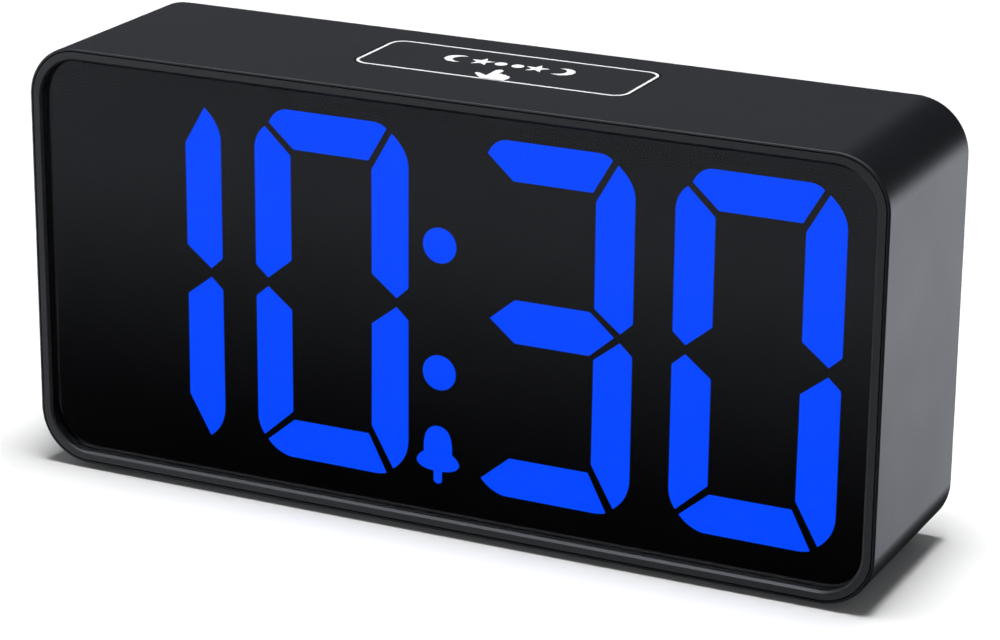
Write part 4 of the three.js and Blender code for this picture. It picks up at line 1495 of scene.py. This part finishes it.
@dataclass
class Back:
    """The rear cover with its openings and signs, and the battery door."""

    thickness: float = 2 * MM
    key_width: float = 9 * MM
    key_height: float = 5 * MM
    gap: float = 0.3 * MM
    print_depth: float = 0.04 * MM
    thumb_radius: float = 5 * MM
    bay_width: float = 52 * MM
    bay_height: float = 23 * MM
    bay_wall: float = 1.2 * MM
    grille_pitch: float = 3.2 * MM
    grille_radius: float = 12 * MM
    cover: Box = field(default_factory=lambda: Box.of("rear_cover"))
    door: Box = field(default_factory=lambda: Box.of("battery_door"))

    @property
    def outer(self) -> float:
        """The plane of the cover's outside."""
        return self.cover.high.y

    @property
    def inner(self) -> float:
        """The plane of the cover's inside."""
        return self.outer - self.thickness

    def _hole(self, middle: Vector, width: float, height: float, radius: float) -> Solid:
        """Make a rounded tool that goes right through the cover."""
        tool = Box.around(middle, (width, 0, height)).between(Axis.Y, self.inner - MM, self.outer + MM)
        return Solid.block(tool).round_edges(Axis.Y, radius, 8)

    def _grille(self) -> Iterator[Solid]:
        """Make the tools for the speaker's slots."""
        middle = Box.of("speaker_frame").middle
        for step in range(-3, 4):
            offset = step * self.grille_pitch
            length = 2 * math.sqrt(self.grille_radius**2 - offset**2)
            yield self._hole(middle + Vector((0, 0, offset)), length, 1.5 * MM, 0.74 * MM)

    def build_cover(self, case: Case) -> None:
        """Model the cover with its battery bay, key holes, grille, sockets and screw seats.

        Args:
            case: the case that it closes.
        """
        plate = case.shell(case.wall + self.gap, self.inner, self.outer)
        bay_middle = self.door.middle
        outer_size = (self.bay_width + 2 * self.bay_wall, 0, self.bay_height + 2 * self.bay_wall)
        bottom = Box.of("battery_cell_1").low.y - 1.3 * MM
        tub = Box.around(bay_middle, outer_size).between(Axis.Y, bottom, self.inner + 0.1 * MM)
        plate.add(Solid.block(tub))
        hollow = Box.around(bay_middle, (self.bay_width, 0, self.bay_height))
        plate.cut(Solid.block(hollow.between(Axis.Y, tub.low.y + self.bay_wall, self.outer + MM)))
        seat = self.door.grown(x=self.gap, z=self.gap)
        seat = seat.between(Axis.Y, self.door.low.y - 0.1 * MM, self.outer + MM)
        plate.cut(Solid.block(seat).round_edges(Axis.Y, MM, 6))
        thumb = (bay_middle.x, self.outer, self.door.high.z)
        plate.cut(Solid.disc(Axis.Y, thumb, self.thumb_radius, 2 * MM, 64))
        for key in KEY_SIGNS:
            size = (self.key_width + 2 * self.gap, self.key_height + 2 * self.gap)
            plate.cut(self._hole(Box.of(key).middle, *size, size[1] / 2 - 0.01 * MM))
        plate.cut(self._hole(Box.of("alarm_slider_body").middle, 7.6 * MM, 3.9 * MM, 0.6 * MM))
        plate.cut(self._hole(Box.of("dimmer_wheel").middle, 15 * MM, 4.4 * MM, 0.6 * MM))
        usb = Box.of("usb_shell")
        plate.cut(self._hole(usb.middle, usb.size.x + 0.6 * MM, usb.size.z + 0.6 * MM, 0.6 * MM))
        jack = Box.of("power_jack_pin").middle
        plate.cut(Solid.disc(Axis.Y, (jack.x, self.inner, jack.z), 4.1 * MM, 6 * MM, 64))
        plate.cut(*self._grille())
        for i in CORNERS:
            screw = Box.of(f"case_screw_{i}").middle
            plate.cut(Solid.disc(Axis.Y, (screw.x, self.outer, screw.z), 3 * MM, 2.4 * MM, 48))
            plate.cut(Solid.disc(Axis.Y, (screw.x, self.inner, screw.z), 1.5 * MM, 8 * MM, 32))
        place(plate.soften(0.14 * MM, 2), "back_cover", BACK, "case", stands_for=["rear_cover"])

    def build_door(self) -> None:
        """Model the battery door, with its thumb notch and grip lines."""
        panel = Solid.block(self.door).round_edges(Axis.Y, 0.8 * MM, 6)
        face = self.door.high.y
        middle = self.door.middle
        thumb = (middle.x, face + 0.1 * MM, self.door.high.z)
        panel.cut(Solid.disc(Axis.Y, thumb, self.thumb_radius, 2 * MM, 64))
        for i in range(3):
            line = Box.around((middle.x, face, middle.z + (4.4 - 1.7 * i) * MM), (14 * MM, 1 * MM, 0.7 * MM))
            panel.cut(Solid.block(line).round_edges(Axis.Y, 0.34 * MM, 4))
        place(panel.soften(0.12 * MM, 2), "battery_lid", BACK, "case", "battery_door", ["battery_door"])

    def build_signs(self) -> None:
        """Print a wordless sign beside each control and socket."""
        signs: list[Outline] = []
        for key, symbol in KEY_SIGNS.items():
            middle = Box.of(key).middle
            signs += symbol.outlines(middle.x, middle.z + 6.4 * MM)
        slider = Box.of("alarm_slider_body").middle
        signs += Symbol.BELL.outlines(slider.x + 2.6 * MM, slider.z + 5.6 * MM)
        signs += Symbol.ALARM_OFF.outlines(slider.x - 2.6 * MM, slider.z + 5.6 * MM)
        wheel = Box.of("dimmer_wheel").middle
        signs += Symbol.SUN.outlines(wheel.x, wheel.z + 5.8 * MM)
        jack = Box.of("power_jack_pin").middle
        signs += Symbol.POWER.outlines(jack.x, jack.z + 7 * MM)
        printed = Solid.prism(signs, Axis.Y, self.outer, self.outer + self.print_depth)
        place(printed, "back_signs", GREY_INK, "case")

    def build(self, case: Case) -> None:
        """Build every piece of the back.

        Args:
            case: the case that it closes.
        """
        self.build_cover(case)
        self.build_door()
        self.build_signs()


# ---------------------------------------------------------------- controls


@dataclass
class Controls:
    """The five setting keys, the alarm slider and the dimmer wheel."""

    key_width: float = 9 * MM
    key_height: float = 5 * MM
    knurls: int = 48
    knurl_depth: float = 0.4 * MM

    def build_keys(self) -> None:
        """Model one key with a dished top, and copy it for the others."""
        first = Box.of("time_key")
        middle, face = first.middle, first.high.y
        flange_top = face - 3.3 * MM
        at = (middle.x, middle.z)
        outline = rounded(at, self.key_width, self.key_height, self.key_height / 2, 14)
        cap = Solid.prism([outline], Axis.Y, flange_top - 0.5 * MM, face)
        cap.round_end(Axis.Y, 1, 0.4 * MM, 4).dish(Axis.Y, 1, 0.35 * MM, 0.3 * MM)
        wide, tall = self.key_width + 2 * MM, self.key_height + 2 * MM
        flange = Solid.prism([rounded(at, wide, tall, tall / 2, 10)], Axis.Y, flange_top - MM, flange_top)
        stem_top = flange_top - 0.5 * MM
        stem_middle = (middle.x, (first.low.y + stem_top) / 2, middle.z)
        stem = Solid.disc(Axis.Y, stem_middle, 1.5 * MM, stem_top - first.low.y, 24)
        cap.add(flange, stem)
        for key in KEY_SIGNS:
            copy = cap.copy(Box.of(key).middle - middle)
            place(copy, f"{key}_cap", KEYS, "key", key, [key])
            dress_nodes(IVORY, f"{key}_plunger")
            dress_nodes(RESIN, f"{key}_switch")
        bpy.data.objects.remove(cap.body)

    def build_slider(self) -> None:
        """Model the alarm slider's knob, with three grip grooves."""
        box = Box.of("alarm_slider_knob")
        grip = Solid.block(box.between(Axis.Y, box.high.y - 3.3 * MM, box.high.y))
        grip.round_edges(Axis.Y, 0.4 * MM, 4)
        stem = Box.around(box.middle, (2 * MM, 0, 1.8 * MM)).between(Axis.Y, box.low.y, box.high.y - 3 * MM)
        grip.add(Solid.block(stem))
        for step in (-1.2, 0, 1.2):
            place_at = (box.middle.x + step * MM, box.high.y, box.middle.z)
            grip.cut(Solid.block(Box.around(place_at, (0.45 * MM, 0.6 * MM, 4 * MM))))
        place(grip.soften(0.09 * MM, 2), "slider_knob", KEYS, "key", "alarm_slider", ["alarm_slider_knob"])
        dress_nodes(RESIN, "alarm_slider_body")

    def build_wheel(self) -> None:
        """Model the dimmer's thumbwheel, with a knurled edge and dished sides."""
        box = Box.of("dimmer_wheel")
        radius = box.size.x / 2
        wheel = Solid.disc(Axis.Z, box.middle, radius, box.size.z, 4 * self.knurls)
        with editing(wheel.body, "VERT") as mesh:
            for vertex in mesh.verts:
                turn = math.atan2(vertex.co.y - box.middle.y, vertex.co.x - box.middle.x)
                vertex.select_set(round(turn / math.tau * 4 * self.knurls) % 4 in (2, 3))
            shrink = 1 - self.knurl_depth / radius
            bpy.ops.transform.resize(value=(shrink, shrink, 1), center_override=tuple(box.middle))
        for side in (-1, 1):
            face = box.middle + Vector((0, 0, side * box.size.z / 2))
            wheel.cut(Solid.disc(Axis.Z, face, radius - 1.6 * MM, 0.8 * MM, 96))
        wheel.cut(Solid.disc(Axis.Z, box.middle, 1.7 * MM, 6 * MM, 48))
        wheel.soften(0.12 * MM, 2, 70)
        place(wheel, "thumbwheel", KEYS, "key", "dimmer_wheel", ["dimmer_wheel"])
        dress_nodes(NICKEL, "dimmer_shaft")
        dress_nodes(RESIN, "dimmer_potentiometer")

    def build(self) -> None:
        """Build every control."""
        self.build_keys()
        self.build_slider()
        self.build_wheel()
        dress_nodes(BOARD, "control_board")


# ---------------------------------------------------------------- power and sound


@dataclass
class Power:
    """The sockets, the back-up cells with their contacts, and the speaker."""

    cell_radius: float = 5.25 * MM
    cell_length: float = 43.3 * MM
    nub_radius: float = 1.9 * MM
    wire: float = 0.35 * MM
    turns: int = 3
    turn_steps: int = 24

    def build_usb(self) -> None:
        """Model the USB socket's folded shell, its tongue and four contacts."""
        box = Box.of("usb_shell")
        shell = Solid.block(box).round_edges(Axis.Y, 0.6 * MM, 6)
        mouth = box.grown(x=-0.5 * MM, z=-0.5 * MM).between(Axis.Y, box.low.y + 1.6 * MM, box.high.y + MM)
        shell.cut(Solid.block(mouth).round_edges(Axis.Y, 0.3 * MM, 4))
        place(shell.soften(0.1 * MM, 2), "usb_housing", NICKEL, "nickel", stands_for=["usb_shell"])
        tongue = Box.of("usb_tongue")
        slab = Solid.block(tongue).soften(0.18 * MM, 3)
        place(slab, "usb_insert", RESIN, "plunger", stands_for=["usb_tongue"])
        contacts = []
        for step in (-3.5, -1, 1, 3.5):
            under = (tongue.middle.x + step * MM, tongue.middle.y + 0.8 * MM, tongue.low.z)
            contacts.append(Solid.block(Box.around(under, (MM, 7 * MM, 0.12 * MM))))
        strip = contacts[0].gather(*contacts[1:]).soften(0.03 * MM, 1)
        place(strip, "usb_contacts", GOLD, "nickel")

    def build_jack(self) -> None:
        """Model the power inlet, its bore and its centre pin."""
        box = Box.of("power_jack")
        pin = Box.of("power_jack_pin")
        nose_end = box.high.y
        body_end = nose_end - 1.6 * MM
        body = Solid.block(box.between(Axis.Y, box.low.y, body_end))
        nose_at = (pin.middle.x, (body_end + nose_end) / 2 - 0.1 * MM, pin.middle.z)
        body.add(Solid.disc(Axis.Y, nose_at, 3.9 * MM, nose_end - body_end + 0.2 * MM, 64))
        bore_low = pin.low.y - 0.1 * MM
        bore_at = (pin.middle.x, (bore_low + nose_end + MM) / 2, pin.middle.z)
        body.cut(Solid.disc(Axis.Y, bore_at, 3.15 * MM, nose_end + MM - bore_low, 64))
        place(body.soften(0.15 * MM, 3), "power_inlet", RESIN, "component", stands_for=["power_jack"])
        post = Solid.disc(Axis.Y, pin.middle, MM, pin.size.y, 32).round_end(Axis.Y, 1, 0.5 * MM, 5)
        place(post, "inlet_pin", NICKEL, "nickel", stands_for=["power_jack_pin"])

    def build_cells(self) -> None:
        """Model the two cells, lying in opposite directions."""
        for i, side in ((1, 1), (2, -1)):
            node = f"battery_cell_{i}"
            box = Box.of(node)
            start = box.low.x if side > 0 else box.high.x - self.cell_length
            middle = Vector((start + self.cell_length / 2, box.middle.y, box.middle.z))
            can = Solid.disc(Axis.X, middle, self.cell_radius, self.cell_length, 64)
            for end in (-1, 1):
                can.round_end(Axis.X, end, 0.5 * MM, 4)
            nub_length = box.size.x - self.cell_length
            nub_at = middle + Vector((side * (self.cell_length + nub_length) / 2, 0, 0))
            nub = Solid.disc(Axis.X, nub_at, self.nub_radius, nub_length, 32)
            can.gather(nub.round_end(Axis.X, side, 0.35 * MM, 4))
            wrap = CellWrap(
                f"cell_wrap_{i}", (0.05, 0.075, 0.09), (0.62, 0.32, 0.14), side * middle.x + 11 * MM, side
            )
            place(can, f"cell_{i}", wrap, "cell", stands_for=[node])

    def build_springs(self) -> None:
        """Model the two conical contact springs."""
        for i, side in ((1, 1), (2, -1)):
            node = f"battery_spring_{i}"
            box = Box.of(node)
            wide = box.low.x if side > 0 else box.high.x
            length = box.size.x - 2 * self.wire - 0.05 * MM
            route = []
            for step in range(self.turns * self.turn_steps + 1):
                share = step / (self.turns * self.turn_steps)
                turn = share * self.turns * math.tau
                radius = (3.05 - 1.2 * share) * MM
                along = wide + side * (self.wire + 0.04 * MM + share * length)
                swing = Vector((0, radius * math.cos(turn), radius * math.sin(turn)))
                route.append(Vector((along, box.middle.y, box.middle.z)) + swing)
            place(Solid.wire(route, self.wire), f"cell_spring_{i}", NICKEL, "nickel", stands_for=[node])

    def build(self) -> None:
        """Build the sockets and cells, and finish the speaker and contacts."""
        self.build_usb()
        self.build_jack()
        self.build_cells()
        self.build_springs()
        dress_nodes(NICKEL, "battery_bridge_contact", "battery_plus_contact", "battery_minus_contact")
        dress_nodes(BOARD, "power_board")
        dress_nodes(ZINC, "speaker_frame", "speaker_magnet")
        dress_nodes(PAPER, "speaker_cone")


# ---------------------------------------------------------------- the studio


@dataclass(frozen=True)
class SoftBox:
    """A rectangular studio light."""

    name: str
    place: tuple[float, float, float]
    aim: tuple[float, float, float]
    size: tuple[float, float]
    power: float

    def build(self) -> None:
        """Hang the light and turn it towards its aim."""
        lamp = bpy.data.lights.new(self.name, "AREA")
        lamp.shape = "RECTANGLE"
        lamp.size, lamp.size_y = self.size
        lamp.energy = self.power
        body = bpy.data.objects.new(self.name, lamp)
        body.visible_glossy = False
        bpy.context.scene.collection.objects.link(body)
        body.location = self.place
        run = Vector(self.aim) - Vector(self.place)
        body.rotation_euler = run.to_track_quat("-Z", "Y").to_euler()


@dataclass
class Studio:
    """The pale floor, the lights and the camera."""

    azimuth: float = 25.49
    elevation: float = 18.82
    roll: float = 0.52
    eye: tuple[float, float, float] = (0.2469, -0.5119, 0.2272)
    lens: float = 123.58
    sensor: float = 36
    lights: tuple[SoftBox, ...] = (
        SoftBox("key_light", (0.06, -0.05, 1.6), (0, 0, 0), (0.56, 0.46), 31.5),
        SoftBox("front_fill", (0.7, -2.2, 0.55), (0, 0, 0.04), (1.2, 0.5), 6),
        SoftBox("back_fill", (-0.9, 2.2, 0.8), (0, 0, 0.04), (1.2, 0.6), 6),
    )

    def build_floor(self) -> None:
        """Lay the floor, far larger than the view."""
        bpy.ops.object.select_all(action="DESELECT")
        bpy.ops.mesh.primitive_plane_add(size=12, location=(0, 0, 0))
        floor = bpy.context.active_object
        floor.name = "studio_floor"
        floor.visible_glossy = False
        floor.visible_transmission = False
        floor.data.materials.append(FLOOR.material())

    def build_sky(self) -> None:
        """Surround the scene: white to look at, even grey to light it, and soft cards to mirror."""
        world = bpy.data.worlds.new("studio_sky")
        bpy.context.scene.world = world
        world.use_nodes = True
        world.node_tree.nodes.clear()
        graph = ShaderGraph(world.node_tree, "Generated")
        across, deep, high = (graph.along(axis) for axis in Axis)
        fade = 1.0 - (high / deep).ramp(0.345, 0.445, smooth=False)
        front_card = 0.62 * deep.ramp(0.0, -0.2) * across.ramp(0.2, -0.2) * fade**1.7
        low_band = high.ramp(-0.03, -0.16) * high.ramp(-0.44, -0.35)
        side_card = 2.0 * deep.ramp(0.45, 0.8) * across.ramp(0.15, 0.25) * low_band
        back_card = 0.14 * deep.ramp(0.0, 0.3) * across.ramp(-0.05, -0.25) * high.ramp(0.0, 0.1)
        left_card = 1.2 * deep.ramp(0.0, -0.2) * across.ramp(-0.52, -0.62) * high.ramp(-0.05, -0.12)
        top_card = 4.0 * high.ramp(0.72, 0.8) * deep.ramp(0.0, -0.2)
        mirrored = 0.02 + front_card + side_card + back_card + left_card + top_card
        rays = graph.node("ShaderNodeLightPath").outputs
        sharp = Value(graph, rays["Is Glossy Ray"]) + Value(graph, rays["Is Transmission Ray"])
        lit = self._glow(graph, (0.95, 0.97, 1.0), 0.13)
        seen = self._glow(graph, (1.0, 1.0, 1.0), 1.0)
        cards = self._glow(graph, (0.92, 0.96, 1.06), mirrored)
        choose = graph.node("ShaderNodeMixShader", {}, {0: sharp, 1: lit, 2: cards}).outputs[0]
        show = graph.node("ShaderNodeMixShader", {}, {0: rays["Is Camera Ray"], 1: choose, 2: seen})
        graph.node("ShaderNodeOutputWorld", {}, {"Surface": show.outputs[0]})

    def _glow(self, graph: ShaderGraph, colour: Colour, strength: Value | float) -> bpy.types.NodeSocket:
        """Add a glow of one colour to the sky and return its shader."""
        made = graph.node("ShaderNodeBackground", {}, {"Color": colour, "Strength": strength})
        return made.outputs[0]

    def build_camera(self) -> None:
        """Set the camera up at the viewing angle."""
        turn, tilt, roll = (math.radians(a) for a in (self.azimuth, self.elevation, self.roll))
        ahead = Vector((-math.sin(turn) * math.cos(tilt), math.cos(turn) * math.cos(tilt), -math.sin(tilt)))
        right = ahead.cross(Vector((0, 0, 1))).normalized()
        up = right.cross(ahead)
        across = right * math.cos(roll) + up * math.sin(roll)
        upward = up * math.cos(roll) - right * math.sin(roll)
        lens = bpy.data.cameras.new("studio_camera")
        lens.lens = self.lens
        lens.sensor_width = self.sensor
        lens.clip_start = 0.01
        body = bpy.data.objects.new("studio_camera", lens)
        bpy.context.scene.collection.objects.link(body)
        facing = Matrix((across, upward, -ahead)).transposed().to_4x4()
        body.matrix_world = Matrix.Translation(self.eye) @ facing
        bpy.context.scene.camera = body

    def build(self) -> None:
        """Build the whole studio."""
        self.build_camera()
        self.build_floor()
        self.build_sky()
        for light in self.lights:
            light.build()
        bpy.context.scene.view_settings.view_transform = "Standard"


def main() -> None:
    """Build the clock in order, then the studio."""
    logging.basicConfig(level=logging.INFO, format="%(message)s")
    case = Case()
    case.build()
    Display().build(case)
    SnoozeKey().build()
    Back().build(case)
    Controls().build()
    Power().build()
    Studio().build()


if __name__ == "__main__":
    main()
